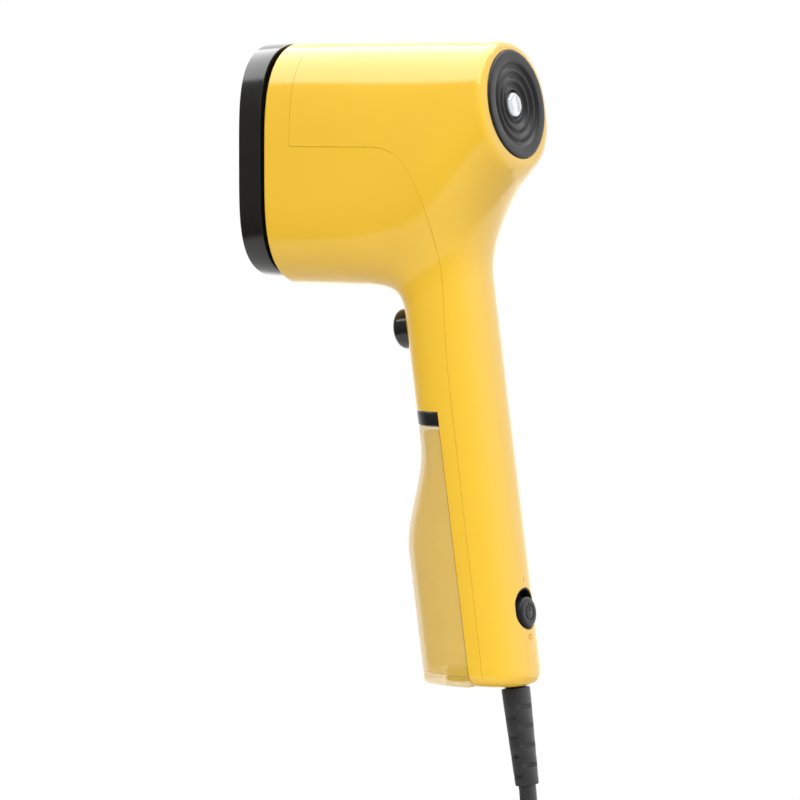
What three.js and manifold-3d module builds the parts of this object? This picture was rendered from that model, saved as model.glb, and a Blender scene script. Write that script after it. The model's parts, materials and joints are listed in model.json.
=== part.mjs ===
// Handheld garment steamer: steam head in front (-X), rear lamp cap (+X), handle with water tank below.
// Millimetres, +Z up, symmetric about the plane Y = 0. The origin is the middle of the hand grip.
import * as THREE from 'three';
import { mergeVertices } from 'three/addons/utils/BufferGeometryUtils.js';
import Module from 'manifold-3d';

const wasm = await Module();
wasm.setup();

// ---------------------------------------------------------------- driving dimensions
// Everything below is laid out from the front plane of the steam head (X = 0) and the
// middle height of the head (Z = 0); GRIP is where the hand grip's middle lies in that layout.
const GRIP = new THREE.Vector3(92, 0, -130);
const GAP = 0.3;                 // clearance between pieces that touch
const WALL = 2.5;                // casing wall

const HEAD_HALF_WIDTH = 31.3;
const HEAD_HALF_HEIGHT = 49;
const HEAD_ACROSS = 2.3;         // superellipse exponents of the head's section at the front ...
const HEAD_UPRIGHT = 3.6;        // ... which make its long sides flatter than its top
const FACE_ACROSS = 2.5;         // the same exponents for the steam face and its bezel
const FACE_UPRIGHT = 4;
const HEAD_FRONT = 12.9;         // front edge of the yellow casing
const TAPER_START = 25;          // the head narrows from here ...
const TAPER_END = 144;           // ... towards a circle that would be reached here
const TAIL_HALF_WIDTH = 24.9;
const LOW_START = 50;            // the head's underside begins to rise here
const TAIL_LOW = 11.8;              // lowest point of that circle
const CAP_CENTRE = new THREE.Vector3(111.4, 0, 24);
const CAP_TILT = THREE.MathUtils.degToRad(8.4);
const CAP_EDGE = 3.4;            // softness of the casing's edge round the rear cap
const CAP_RADIUS = 21.7;

const LEAN = THREE.MathUtils.degToRad(7.9);
const HANDLE_X = 87.5;           // handle axis at height HANDLE_Z
const HANDLE_Z = -97;
const HANDLE_HALF_DEPTH = 18.2;
const HANDLE_HALF_WIDTH = 18;
const HANDLE_SQUARENESS = 2.2;
const CROOK_BLEND = 15;          // the head flows into the handle tightly in front ...
const NECK_BLEND = 29;           // ... and widely behind
const HANDLE_BOTTOM = -207;
const BOTTOM_EDGE = 6.5;

const SEAM_X = 25;               // collar seam between the two casing halves
const SEAM_Z = 7;                // level seam along the head
const SEAM_REAR = 5.6;           // seam down the handle, behind the handle axis

const BAY_TOP = -97.8;           // ceiling of the tank bay
const BAY_REAR = -1.5;           // rear face of the tank bay, from the handle axis
const COLLAR_HEIGHT = 5.5;
const TANK_TOP = -103.9;
const TANK_NECK_DEPTH = 18.2;
const TANK_BELLY_DEPTH = 31;
const BELLY_START = -110;
const BELLY_END = -156;
const TANK_WALL = 2;
const TANK_BASE_TOP = -202.6;

const TRIGGER_Z = -63.1;
const TRIGGER_RADIUS = 8.25;
const TRIGGER_FACE = -25;        // outer face, from the handle axis
const FLANGE_AT = 12.4;          // along the trigger, from its outer face
const STEM_END = 21;
const SWITCH_Z = -178.6;
const WELL_RADIUS = 7.1;         // the switch recess is an upright oval: two arcs ...
const WELL_STRAIGHT = 1.2;       // ... this far above and below its middle
const WELL_WALL = 0.5;
const KNOB_RADIUS = 6.2;
const SWITCH_TRAVEL = 2.9;

const CORD_RADIUS = 3.5;
const RELIEF_EXIT_X = 111.6;
const RELIEF_LENGTH = 40;
const HANK_CENTRE_X = 90.6;
const HANK_TOP = -290;           // where the straight runs of the hank begin
const HANK_RUN = 105;
const HANK_RADIUS = 28;          // bend of the outer turns, at the middle of the cord
const INNER_BEND = 21.7;         // bend of the inner turns
const HANK_HALF_THICKNESS = 10.9;

// ---------------------------------------------------------------- colours
const YELLOW = { color: 0xf2bd2c, roughness: 0.18, metalness: 0 };
const BLACK_GLOSS = { color: 0x1b1a19, roughness: 0.25, metalness: 0 };
const BLACK_SATIN = { color: 0x2a2a2b, roughness: 0.5, metalness: 0 };
const RUBBER = { color: 0x232324, roughness: 0.8, metalness: 0 };
const SILICONE = { color: 0xb9b4ab, roughness: 0.6, metalness: 0 };
const TANK_TINT = { color: 0xe9cf7a, roughness: 0.12, metalness: 0 };
const CLEAR = { color: 0xf0f4f6, roughness: 0.05, metalness: 0 };
const ALUMINIUM = { color: 0xb8bcc0, roughness: 0.35, metalness: 1 };
const STEEL = { color: 0xa3a6a8, roughness: 0.3, metalness: 1 };
const BRASS = { color: 0xb9954f, roughness: 0.3, metalness: 1 };
const COPPER = { color: 0xa4643c, roughness: 0.45, metalness: 1 };
const BOARD_GREEN = { color: 0x1f5a3a, roughness: 0.5, metalness: 0 };
const NATURAL = { color: 0xd8d4c8, roughness: 0.55, metalness: 0 };

// ---------------------------------------------------------------- solids
const X_AXIS = new THREE.Vector3(1, 0, 0);
const Y_AXIS = new THREE.Vector3(0, 1, 0);
const Z_AXIS = new THREE.Vector3(0, 0, 1);
const DOWN_HANDLE = new THREE.Vector3(Math.sin(LEAN), 0, -Math.cos(LEAN));
const REARWARD = new THREE.Vector3(Math.cos(LEAN), 0, Math.sin(LEAN));

function toSolid(geometry) {
  const bare = geometry.index ? geometry.toNonIndexed() : geometry.clone();
  for (const name of Object.keys(bare.attributes)) {
    if (name !== 'position') bare.deleteAttribute(name);
  }
  const merged = mergeVertices(bare, 1e-4);
  const mesh = new wasm.Mesh({
    numProp: 3,
    vertProperties: new Float32Array(merged.attributes.position.array),
    triVerts: new Uint32Array(merged.index.array),
  });
  return new wasm.Manifold(mesh);
}

function toGeometry(solid) {
  const mesh = solid.getMesh();
  const geometry = new THREE.BufferGeometry();
  geometry.setAttribute('position', new THREE.BufferAttribute(new Float32Array(mesh.vertProperties), 3));
  geometry.setIndex(new THREE.BufferAttribute(new Uint32Array(mesh.triVerts), 1));
  return geometry;
}

/** The main body of a cut piece, without slivers that a cut may leave beside it. */
function mainBody(solid) {
  return solid.decompose().sort((a, b) => b.volume() - a.volume())[0];
}

function joined(solids) {
  return solids.reduce((whole, piece) => whole.add(piece));
}

function point(x, y, z) {
  return new THREE.Vector3(x, y, z);
}

/** A point beside the handle axis: at height z on the axis, then rearward and sideways. */
function atHandle(z, rearward = 0, y = 0) {
  return point(handleAxisX(z), y, z).addScaledVector(REARWARD, rearward);
}

function handleAxisX(z) {
  return HANDLE_X + (HANDLE_Z - z) * Math.tan(LEAN);
}

function box(low, high) {
  const geometry = new THREE.BoxGeometry(high[0] - low[0], high[1] - low[1], high[2] - low[2]);
  geometry.translate((low[0] + high[0]) / 2, (low[1] + high[1]) / 2, (low[2] + high[2]) / 2);
  return toSolid(geometry);
}

/** A box with its length along the handle: rearward, sideways and down-the-handle sizes. */
function handleBox(z, rearward, y, size) {
  const geometry = new THREE.BoxGeometry(size[0], size[1], size[2]);
  const turn = new THREE.Matrix4().makeBasis(REARWARD, Y_AXIS, DOWN_HANDLE.clone().negate());
  geometry.applyMatrix4(turn);
  const centre = atHandle(z, rearward, y);
  geometry.translate(centre.x, centre.y, centre.z);
  return toSolid(geometry);
}

/** A turned piece: profile of [radius, distance] pairs along an axis that starts at a point. */
function turned(start, axis, profile, sides = 24) {
  const outline = profile.map(([radius, distance]) => new THREE.Vector2(radius, distance));
  const geometry = new THREE.LatheGeometry(outline, sides);
  const turn = new THREE.Quaternion().setFromUnitVectors(Y_AXIS, axis);
  geometry.applyQuaternion(turn);
  geometry.translate(start.x, start.y, start.z);
  return outward(geometry);
}

function rod(start, axis, length, radius, sides = 24) {
  return turned(start, axis, [[0, 0], [radius, 0], [radius, length], [0, length]], sides);
}

function pipe(start, axis, length, radius, bore, sides = 24) {
  return turned(start, axis, [[bore, 0], [radius, 0], [radius, length], [bore, length], [bore, 0]], sides);
}

function outward(geometry) {
  const solid = toSolid(geometry);
  if (solid.volume() > 0) return solid;
  const flipped = geometry.index ? geometry.toNonIndexed() : geometry;
  const position = flipped.attributes.position;
  const first = new THREE.Vector3();
  const second = new THREE.Vector3();
  for (let corner = 0; corner < position.count; corner += 3) {
    first.fromBufferAttribute(position, corner + 1);
    second.fromBufferAttribute(position, corner + 2);
    position.setXYZ(corner + 1, second.x, second.y, second.z);
    position.setXYZ(corner + 2, first.x, first.y, first.z);
  }
  return toSolid(flipped);
}

/** A round tube along a smooth curve through the given points. */
function tubeAlong(points, radius, sides, steps) {
  const path = new THREE.CatmullRomCurve3(points, false, 'centripetal');
  const section = new THREE.Shape();
  section.absarc(0, 0, radius, 0, Math.PI * 2);
  const geometry = new THREE.ExtrudeGeometry(section, { steps, extrudePath: path, curveSegments: sides / 2 });
  return outward(geometry);
}

/** An outline in the Y-Z plane, extruded along X between two places. */
function slabAlongX(shape, xStart, xEnd, bevel = 0, segments = 48) {
  const options = { depth: xEnd - xStart - 2 * bevel, bevelEnabled: bevel > 0, curveSegments: segments };
  Object.assign(options, { bevelSize: bevel, bevelThickness: bevel, bevelOffset: -bevel, bevelSegments: 1 });
  const geometry = new THREE.ExtrudeGeometry(shape, options);
  geometry.applyMatrix4(new THREE.Matrix4().makeBasis(Y_AXIS, Z_AXIS, X_AXIS));
  geometry.translate(xStart + bevel, 0, 0);
  return outward(geometry);
}

/** An outline in the X-Z plane, extruded through the whole width. */
function slabAcross(shape, halfWidth = 60) {
  const geometry = new THREE.ExtrudeGeometry(shape, { depth: 2 * halfWidth, bevelEnabled: false, curveSegments: 12 });
  geometry.applyMatrix4(new THREE.Matrix4().makeBasis(X_AXIS, Z_AXIS, Y_AXIS.clone().negate()));
  geometry.translate(0, halfWidth, 0);
  return outward(geometry);
}

function superellipse(halfWidth, halfHeight, count, middle) {
  const corners = [];
  for (let step = 0; step < count; step += 1) {
    const angle = (step / count) * Math.PI * 2;
    const across = Math.sign(Math.cos(angle)) * Math.abs(Math.cos(angle)) ** (2 / FACE_ACROSS);
    const up = Math.sign(Math.sin(angle)) * Math.abs(Math.sin(angle)) ** (2 / FACE_UPRIGHT);
    corners.push(new THREE.Vector2(across * halfWidth, middle + up * halfHeight));
  }
  return corners;
}

/** Skins a list of rings of equal length, with flat ends. */
function loft(rings) {
  const count = rings[0].length;
  const corners = [];
  const triangle = (a, b, c) => corners.push(...a.toArray(), ...b.toArray(), ...c.toArray());
  for (let row = 0; row + 1 < rings.length; row += 1) {
    for (let column = 0; column < count; column += 1) {
      const next = (column + 1) % count;
      triangle(rings[row][column], rings[row][next], rings[row + 1][next]);
      triangle(rings[row][column], rings[row + 1][next], rings[row + 1][column]);
    }
  }
  for (const [ring, forward] of [[rings[0], false], [rings[rings.length - 1], true]]) {
    const middle = ring.reduce((sum, corner) => sum.add(corner), point(0, 0, 0)).divideScalar(count);
    for (let column = 0; column < count; column += 1) {
      const next = (column + 1) % count;
      if (forward) triangle(ring[column], ring[next], middle);
      else triangle(ring[next], ring[column], middle);
    }
  }
  const geometry = new THREE.BufferGeometry();
  geometry.setAttribute('position', new THREE.Float32BufferAttribute(corners, 3));
  return outward(geometry);
}

// ---------------------------------------------------------------- casing surface
function ease(value) {
  const t = THREE.MathUtils.clamp(value, 0, 1);
  return t * t * (3 - 2 * t);
}

function softLeast(a, b, blend) {
  const overlap = Math.max(blend - Math.abs(a - b), 0) / blend;
  return Math.min(a, b) - overlap * overlap * blend * 0.25;
}

function softMost(a, b, blend) {
  return -softLeast(-a, -b, blend);
}

function superRadius(a, b, squareness) {
  return (Math.abs(a) ** squareness + Math.abs(b) ** squareness) ** (1 / squareness);
}

/** Level of the casing's outer surface: zero on it, about minus the depth inside it. */
function casingLevel(x, y, z) {
  const taper = ease((x - TAPER_START) / (TAPER_END - TAPER_START));
  const halfWidth = THREE.MathUtils.lerp(HEAD_HALF_WIDTH, TAIL_HALF_WIDTH, taper);
  const across = THREE.MathUtils.lerp(HEAD_ACROSS, 2, taper);
  const upright = THREE.MathUtils.lerp(HEAD_UPRIGHT, 2, taper);
  const rise = ease((x - LOW_START) / (TAPER_END - LOW_START));
  const low = THREE.MathUtils.lerp(-HEAD_HALF_HEIGHT, TAIL_LOW, rise);
  const middle = (HEAD_HALF_HEIGHT + low) / 2;
  const halfHeight = (HEAD_HALF_HEIGHT - low) / 2;
  const share = Math.abs(y / halfWidth) ** across + Math.abs((z - middle) / halfHeight) ** upright;
  const tube = (share ** (1 / across) - 1) * halfWidth;
  const behindCap = (x - CAP_CENTRE.x) * Math.cos(CAP_TILT) + (z - CAP_CENTRE.z) * Math.sin(CAP_TILT);
  const head = softMost(tube, behindCap, CAP_EDGE);

  const rearward = (x - HANDLE_X) * Math.cos(LEAN) + (z - HANDLE_Z) * Math.sin(LEAN);
  const down = (x - HANDLE_X) * Math.sin(LEAN) - (z - HANDLE_Z) * Math.cos(LEAN);
  const column = superRadius(rearward / HANDLE_HALF_DEPTH, y / HANDLE_HALF_WIDTH, HANDLE_SQUARENESS);
  const stopped = softMost((column - 1) * HANDLE_HALF_WIDTH, -(down - HANDLE_Z), 20);
  const handle = softMost(stopped, HANDLE_BOTTOM - z, BOTTOM_EDGE);
  const blend = THREE.MathUtils.lerp(CROOK_BLEND, NECK_BLEND, ease((x - 60) / 40));
  return softLeast(head, handle, blend);
}

// The casing is skinned on planes that stand upright through the head, fan round a pivot in
// the crook of the neck, and lie level down the handle.
const CROOK = new THREE.Vector2(52, -64);
const RAY_LIMIT = 110;

function casingStations(front, bottom) {
  const stations = [];
  const headSteps = 4;
  const fanSteps = 12;
  const handleSteps = 4;
  for (let step = 0; step < headSteps; step += 1) {
    stations.push({ x: THREE.MathUtils.lerp(front, CROOK.x, step / headSteps), z: 0, dirX: 0, dirZ: 1 });
  }
  for (let step = 0; step <= fanSteps; step += 1) {
    const angle = (1 - step / fanSteps) * Math.PI / 2;
    const reach = stationReach(angle);
    const dirX = Math.cos(angle);
    const dirZ = Math.sin(angle);
    stations.push({ x: CROOK.x + dirX * reach, z: CROOK.y + dirZ * reach, dirX, dirZ });
  }
  for (let step = 1; step <= handleSteps; step += 1) {
    const z = THREE.MathUtils.lerp(CROOK.y, bottom + 3, step / handleSteps);
    stations.push({ x: handleAxisX(z), z, dirX: 1, dirZ: 0 });
  }
  for (const above of [1.2, 0.02]) {
    const z = bottom + above;
    stations.push({ x: handleAxisX(z), z, dirX: 1, dirZ: 0 });
  }
  return stations;
}

/** Distance from the crook to the middle of the section at a fan angle. */
function stationReach(angle) {
  const upright = -CROOK.y;
  const toHandle = handleAxisX(CROOK.y) - CROOK.x;
  return THREE.MathUtils.lerp(toHandle, upright, ease(angle / (Math.PI / 2)));
}

function casingRing(station, level, count) {
  const ring = [];
  for (let step = 0; step < count; step += 1) {
    const angle = (step / count) * Math.PI * 2;
    const along = Math.cos(angle);
    const across = Math.sin(angle);
    const place = (r) => point(station.x + station.dirX * along * r, across * r, station.z + station.dirZ * along * r);
    const outside = (r) => {
      const at = place(r);
      return casingLevel(at.x, at.y, at.z) > level;
    };
    let near = 0;
    let far = 2;
    while (far < RAY_LIMIT && !outside(far)) {
      near = far;
      far += 2;
    }
    for (let halving = 0; halving < 16; halving += 1) {
      const middle = (near + far) / 2;
      if (outside(middle)) far = middle;
      else near = middle;
    }
    ring.push(place(near));
  }
  return ring;
}

function casingSolid(front, bottom, level, count) {
  return loft(casingStations(front, bottom).map((station) => casingRing(station, level, count)));
}

// ---------------------------------------------------------------- casing halves
/** Outline, seen from the side, of everything in front of and below the seam. */
function frontRegion(offset) {
  const outline = new THREE.Shape();
  outline.moveTo(SEAM_X - offset, 80);
  outline.lineTo(SEAM_X - offset, SEAM_Z - offset);
  outline.lineTo(62, SEAM_Z - offset);
  outline.bezierCurveTo(78, SEAM_Z - offset, 84 - offset, -8, 86 - offset, -22);
  outline.bezierCurveTo(87.6 - offset, -34, 87.6 - offset, -56, handleAxisX(-85) + SEAM_REAR - 0.6 - offset, -85);
  outline.lineTo(handleAxisX(-260) + SEAM_REAR - 1.6 - offset, -260);
  outline.lineTo(-60, -260);
  outline.lineTo(-60, 80);
  outline.closePath();
  return slabAcross(outline);
}

/** Everything in front of a plane that runs down the handle, below a given height. */
function aheadOfHandle(rearward, top) {
  const outline = new THREE.Shape();
  const shift = rearward / Math.cos(LEAN);
  outline.moveTo(handleAxisX(top) + shift, top);
  outline.lineTo(handleAxisX(-260) + shift, -260);
  outline.lineTo(20, -260);
  outline.lineTo(20, top);
  outline.closePath();
  return slabAcross(outline);
}

const PARTITION = 2.2;           // wall between the tank bay and the electrics
const BAY_CEILING = 4;
const blank = casingSolid(HEAD_FRONT, HANDLE_BOTTOM, 0, 24);
const hollow = casingSolid(HEAD_FRONT - 6, HANDLE_BOTTOM + WALL, -WALL, 16)
  .subtract(aheadOfHandle(BAY_REAR + PARTITION, BAY_TOP + BAY_CEILING));

const SCREW_HEIGHTS = [-118, -158];
const SCREW_RADIUS = 1.5;
const SCREW_HEAD = BAY_REAR + 0.2;

/** Counterbored hole through the wall behind the tank. */
function screwHole(z) {
  const bore = rod(atHandle(z, BAY_REAR - 1), REARWARD, 8, SCREW_RADIUS + 0.2, 12);
  return bore.add(rod(atHandle(z, BAY_REAR - 1), REARWARD, 2.5, 3, 12));
}

/** Hole for the trigger, with a wider pocket behind it that the trigger's flange rests in. */
function triggerHole() {
  const flange = TRIGGER_FACE + FLANGE_AT - 0.4;
  const bore = rod(atHandle(TRIGGER_Z, TRIGGER_FACE - 6), REARWARD, flange - TRIGGER_FACE + 7, TRIGGER_RADIUS + GAP, 28);
  return bore.add(rod(atHandle(TRIGGER_Z, flange), REARWARD, 8, TRIGGER_RADIUS + 1, 28));
}

const SOCKET_X = handleAxisX(BAY_TOP) - 7;
const UP_HANDLE = DOWN_HANDLE.clone().negate();

/** A point on the line, parallel to the handle, that the tank's nozzle and its socket share. */
function onSocketLine(z) {
  return point(SOCKET_X + (BAY_TOP - z) * Math.tan(LEAN), 0, z);
}

function frontShell() {
  const region = frontRegion(0);
  let shell = blank.intersect(region).subtract(hollow).subtract(aheadOfHandle(BAY_REAR, BAY_TOP));
  shell = shell.subtract(triggerHole());
  shell = shell.subtract(rod(onSocketLine(BAY_TOP - 4), UP_HANDLE, 14, 4.6));
  for (const z of SCREW_HEIGHTS) shell = shell.subtract(screwHole(z));
  return mainBody(shell);
}

function capAxis() {
  return point(Math.cos(CAP_TILT), 0, Math.sin(CAP_TILT));
}

/** An upright oval that stands out rearward from the handle axis, between two distances. */
function ovalRearward(radius, from, to) {
  const outline = new THREE.Shape();
  outline.absarc(0, WELL_STRAIGHT, radius, 0, Math.PI, false);
  outline.absarc(0, -WELL_STRAIGHT, radius, Math.PI, Math.PI * 2, false);
  const geometry = new THREE.ExtrudeGeometry(outline, { depth: to - from, bevelEnabled: false, curveSegments: 8 });
  geometry.applyMatrix4(new THREE.Matrix4().makeBasis(Y_AXIS, UP_HANDLE, REARWARD));
  const start = atHandle(SWITCH_Z, from);
  geometry.translate(start.x, start.y, start.z);
  return outward(geometry);
}

function rearShell() {
  const region = frontRegion(-GAP);
  let shell = blank.subtract(region).subtract(hollow);
  const capSeat = rod(CAP_CENTRE.clone().addScaledVector(capAxis(), -3), capAxis(), 10, CAP_RADIUS + GAP, 32);
  const capHole = rod(CAP_CENTRE.clone().addScaledVector(capAxis(), -14), capAxis(), 20, CAP_RADIUS - 4, 32);
  shell = shell.subtract(capSeat).subtract(capHole);
  const bosses = SCREW_HEIGHTS.map((z) => rod(atHandle(z, 7), REARWARD, 10, 3.4, 16));
  shell = shell.add(joined(bosses.map((boss) => boss.intersect(blank))));
  for (const z of SCREW_HEIGHTS) shell = shell.subtract(rod(atHandle(z, 4), REARWARD, 9, SCREW_RADIUS + 0.15, 16));
  shell = shell.subtract(ovalRearward(WELL_RADIUS + GAP, 8, 28));
  const exit = point(RELIEF_EXIT_X, 0, HANDLE_BOTTOM).addScaledVector(DOWN_HANDLE, -8);
  return mainBody(shell.subtract(rod(exit, DOWN_HANDLE, 16, 4.6)));
}

// ---------------------------------------------------------------- steam head front
const BEZEL_FRONT = 0.8;
const BEZEL_REAR = 11;
const BEZEL_MIDDLE = 1.2;
const BEZEL_HALF_WIDTH = 30.6;
const BEZEL_HALF_HEIGHT = 47.2;
const PLATE_HALF_WIDTH = 26.6;
const PLATE_HALF_HEIGHT = 43.2;
const PLATE_FRONT = 0.2;
const PLATE_REAR = 3.2;

function ringShape(halfWidth, halfHeight, inset, middle = BEZEL_MIDDLE) {
  const shape = new THREE.Shape(superellipse(halfWidth, halfHeight, 32, middle));
  const inner = superellipse(halfWidth - inset, halfHeight - inset, 24, middle);
  shape.holes.push(new THREE.Path(inner));
  return shape;
}

function plainShape(halfWidth, halfHeight, middle = BEZEL_MIDDLE) {
  return new THREE.Shape(superellipse(halfWidth, halfHeight, 24, middle));
}

function steamBezel() {
  const inset = BEZEL_HALF_WIDTH - PLATE_HALF_WIDTH - GAP;
  const front = slabAlongX(ringShape(BEZEL_HALF_WIDTH, BEZEL_HALF_HEIGHT, inset), BEZEL_FRONT, BEZEL_REAR);
  return front;
}

function carrierRing() {
  return slabAlongX(ringShape(HEAD_HALF_WIDTH - WALL - 1.6, HEAD_HALF_HEIGHT - 6.6, 2.4, 0), BEZEL_REAR + GAP, 22);
}

const STEAM_HOLES = [[0, 31], [-11, 24], [11, 24], [-16, 10], [16, 10], [-16, -9], [16, -9], [-11, -23], [11, -23], [0, -30]];

function steamPlate() {
  let plate = slabAlongX(plainShape(PLATE_HALF_WIDTH, PLATE_HALF_HEIGHT), PLATE_FRONT, PLATE_REAR, 0.6);
  for (const [y, z] of STEAM_HOLES) {
    plate = plate.subtract(rod(point(PLATE_FRONT - 2, y, z + BEZEL_MIDDLE), X_AXIS, 8, 1.8, 8));
  }
  return plate;
}

const BOILER_FRONT = 4.8;
const BOILER_REAR = 25;
const BOILER_HALF_WIDTH = 23.6;
const BOILER_HALF_HEIGHT = 38;

function elementPath() {
  const bend = 8;
  const reach = 20;
  const depth = BOILER_REAR - 4.5;
  const corners = [point(BOILER_REAR + 12, 0, -reach), point(depth + bend, 0, -reach)];
  for (const angle of [30, 60]) {
    const turn = THREE.MathUtils.degToRad(angle);
    corners.push(point(depth + bend * (1 - Math.sin(turn)), 0, -reach + bend * (1 - Math.cos(turn))));
  }
  corners.push(point(depth, 0, -reach + bend), point(depth, 0, 0));
  const mirrored = corners.slice(0, -1).reverse().map((corner) => point(corner.x, 0, -corner.z));
  return corners.concat(mirrored);
}

function boiler() {
  const block = slabAlongX(plainShape(BOILER_HALF_WIDTH, BOILER_HALF_HEIGHT), BOILER_FRONT, BOILER_REAR);
  const chamber = slabAlongX(plainShape(BOILER_HALF_WIDTH - 4, BOILER_HALF_HEIGHT - 4), BOILER_FRONT - 2, BOILER_FRONT + 9);
  const inlet = rod(point(BOILER_FRONT + 4, 12, 14), X_AXIS, 30, 1.6, 12);
  return block.subtract(chamber).subtract(tubeAlong(elementPath(), 3.5, 8, 18)).subtract(inlet);
}

function boilerCover() {
  const cover = slabAlongX(plainShape(BOILER_HALF_WIDTH, BOILER_HALF_HEIGHT), BOILER_REAR + GAP, BOILER_REAR + 2.6);
  const nozzle = pipe(point(BOILER_REAR + 2, 12, 14), X_AXIS, 6, 3, 1.6, 14);
  const inlet = rod(point(BOILER_REAR - 4, 12, 14), X_AXIS, 10, 1.6, 14);
  let piece = cover.subtract(inlet).add(nozzle).subtract(tubeAlong(elementPath(), 3.5, 8, 18));
  for (const at of COVER_SCREWS) piece = piece.subtract(rod(point(BOILER_REAR - 2, at[0], at[1]), X_AXIS, 8, 1.7, 12));
  return piece;
}

const COVER_SCREWS = [[-16, 22], [16, 22], [-16, -20], [16, -20]];

function coverScrew(at) {
  const start = point(BOILER_REAR + GAP + 0.1, at[0], at[1]);
  return turned(start, X_AXIS, [[0, 0], [1.5, 0], [1.5, 2.8], [2.8, 2.8], [2.8, 4.4], [0, 4.4]], 8);
}

const COVER_BACK = BOILER_REAR + 2.6 + GAP;

function thermostat() {
  const can = rod(point(COVER_BACK, -8, 8), X_AXIS, 5, 7, 20);
  const flange = box([COVER_BACK, -16, 5], [COVER_BACK + 1.2, 0, 11]);
  const tabs = box([COVER_BACK + 4, -12, 7.4], [COVER_BACK + 10, -4, 8.6]);
  return can.add(flange).add(tabs);
}

function thermalFuse() {
  const start = point(COVER_BACK, -14, -8);
  return turned(start.add(point(2.2, 0, 0)), Y_AXIS, [[0, 0], [0.6, 0], [0.6, 5], [2, 5], [2, 15], [0.6, 15], [0.6, 20], [0, 20]], 12);
}

// ---------------------------------------------------------------- rear cap
function rearCap() {
  const start = CAP_CENTRE.clone().addScaledVector(capAxis(), -3 + GAP);
  const rise = 3.6;
  const profile = [[0, 0], [CAP_RADIUS, 0], [CAP_RADIUS, rise - 0.8], [CAP_RADIUS - 0.8, rise]];
  const ridges = 3;
  const outer = CAP_RADIUS * 0.78;
  const inner = 6;
  const steps = 12;
  for (let step = 0; step <= steps; step += 1) {
    const share = step / steps;
    const radius = THREE.MathUtils.lerp(outer, inner, share);
    profile.push([radius, rise - 1.3 * share - 0.55 * (1 - Math.cos(share * ridges * Math.PI * 2))]);
  }
  profile.push([5.2, 1.2], [0, 1.2]);
  return turned(start, capAxis(), profile, 24);
}

function statusLens() {
  const start = CAP_CENTRE.clone().addScaledVector(capAxis(), -3 + GAP + 1.2 + GAP);
  return turned(start, capAxis(), [[0, 0], [4.9, 0], [4.9, 1], [4.2, 1.6], [2.2, 2.2], [0, 2.4]], 24);
}

function lampBoard() {
  const start = CAP_CENTRE.clone().addScaledVector(capAxis(), -6.5);
  const board = rod(start, capAxis(), 1.6, 11, 24);
  return board.add(rod(start, capAxis(), 3, 2.4, 12));
}

// ---------------------------------------------------------------- trigger
function trigger() {
  const start = atHandle(TRIGGER_Z, TRIGGER_FACE);
  const r = TRIGGER_RADIUS;
  const profile = [[0, 0], [r * 0.5, 0.25], [r * 0.82, 0.9], [r * 0.96, 2], [r, 3.4], [r, FLANGE_AT], [r + 0.6, FLANGE_AT],
    [r + 0.6, FLANGE_AT + 1.4], [2.6, FLANGE_AT + 1.4], [2.6, STEM_END], [0, STEM_END]];
  return turned(start, REARWARD, profile, 20);
}

const SPRING_START = TRIGGER_FACE + FLANGE_AT + 1.4 + GAP;
const SPRING_END = SPRING_START + 6.6;

function coilSpring(start, axis, length, radius, wire, turns) {
  const points = [];
  const side = new THREE.Vector3().crossVectors(axis, Y_AXIS).normalize();
  const stepsPerTurn = 6;
  for (let step = 0; step <= turns * stepsPerTurn; step += 1) {
    const angle = (step / stepsPerTurn) * Math.PI * 2;
    const rise = wire + (length - 2 * wire) * (step / (turns * stepsPerTurn));
    const at = start.clone().addScaledVector(axis, rise);
    at.addScaledVector(side, Math.cos(angle) * radius).addScaledVector(Y_AXIS, Math.sin(angle) * radius);
    points.push(at);
  }
  return tubeAlong(points, wire, 6, turns * stepsPerTurn);
}

function triggerGuide() {
  const guide = handleBox(TRIGGER_Z, SPRING_END + 1.2, 0, [2, 24, 22]);
  return guide.subtract(rod(atHandle(TRIGGER_Z, SPRING_END - 2), REARWARD, 8, 3, 16));
}

function microswitch() {
  const face = SPRING_END + 4.6;
  const body = handleBox(TRIGGER_Z, face + 4, 0, [8, 7, 18]);
  return body.subtract(rod(atHandle(TRIGGER_Z, face - 2), REARWARD, 7.4, 1.7, 12));
}

function switchPlunger() {
  return rod(atHandle(TRIGGER_Z, TRIGGER_FACE + STEM_END + GAP), REARWARD, 5, 1.4, 10);
}

// ---------------------------------------------------------------- pump and water path
const PUMP_Z = 24;
const PUMP_FRONT = 50;
const PUMP_REAR = 84;

function pumpBody() {
  const coil = rod(point(PUMP_FRONT, 0, PUMP_Z), X_AXIS, PUMP_REAR - PUMP_FRONT, 11, 24);
  const frame = box([PUMP_FRONT + 3, -12, PUMP_Z - 12], [PUMP_REAR - 8, 12, PUMP_Z + 12]);
  const nose = rod(point(PUMP_FRONT - 6, 0, PUMP_Z), X_AXIS, 8, 3.2, 16);
  const bore = rod(point(PUMP_FRONT + 4, 0, PUMP_Z), X_AXIS, 60, 4.5, 20);
  const passage = rod(point(PUMP_FRONT - 10, 0, PUMP_Z), X_AXIS, 20, 1.4, 12);
  return coil.add(frame).add(nose).subtract(bore).subtract(passage);
}

function pumpPlunger() {
  return rod(point(PUMP_FRONT + 4 + GAP, 0, PUMP_Z), X_AXIS, 18, 4.2, 20);
}

const PUMP_SPRING_START = PUMP_FRONT + 4 + 18 + 2 * GAP;

function pumpEnd() {
  const profile = [[1.4, -2], [4.2, -2], [4.2, GAP], [9, GAP], [9, 2.8], [3, 2.8], [3, 8], [1.4, 8], [1.4, -2]];
  return turned(point(PUMP_REAR, 0, PUMP_Z), X_AXIS, profile, 14);
}

const BRACKET_FRONT = 40;

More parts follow.
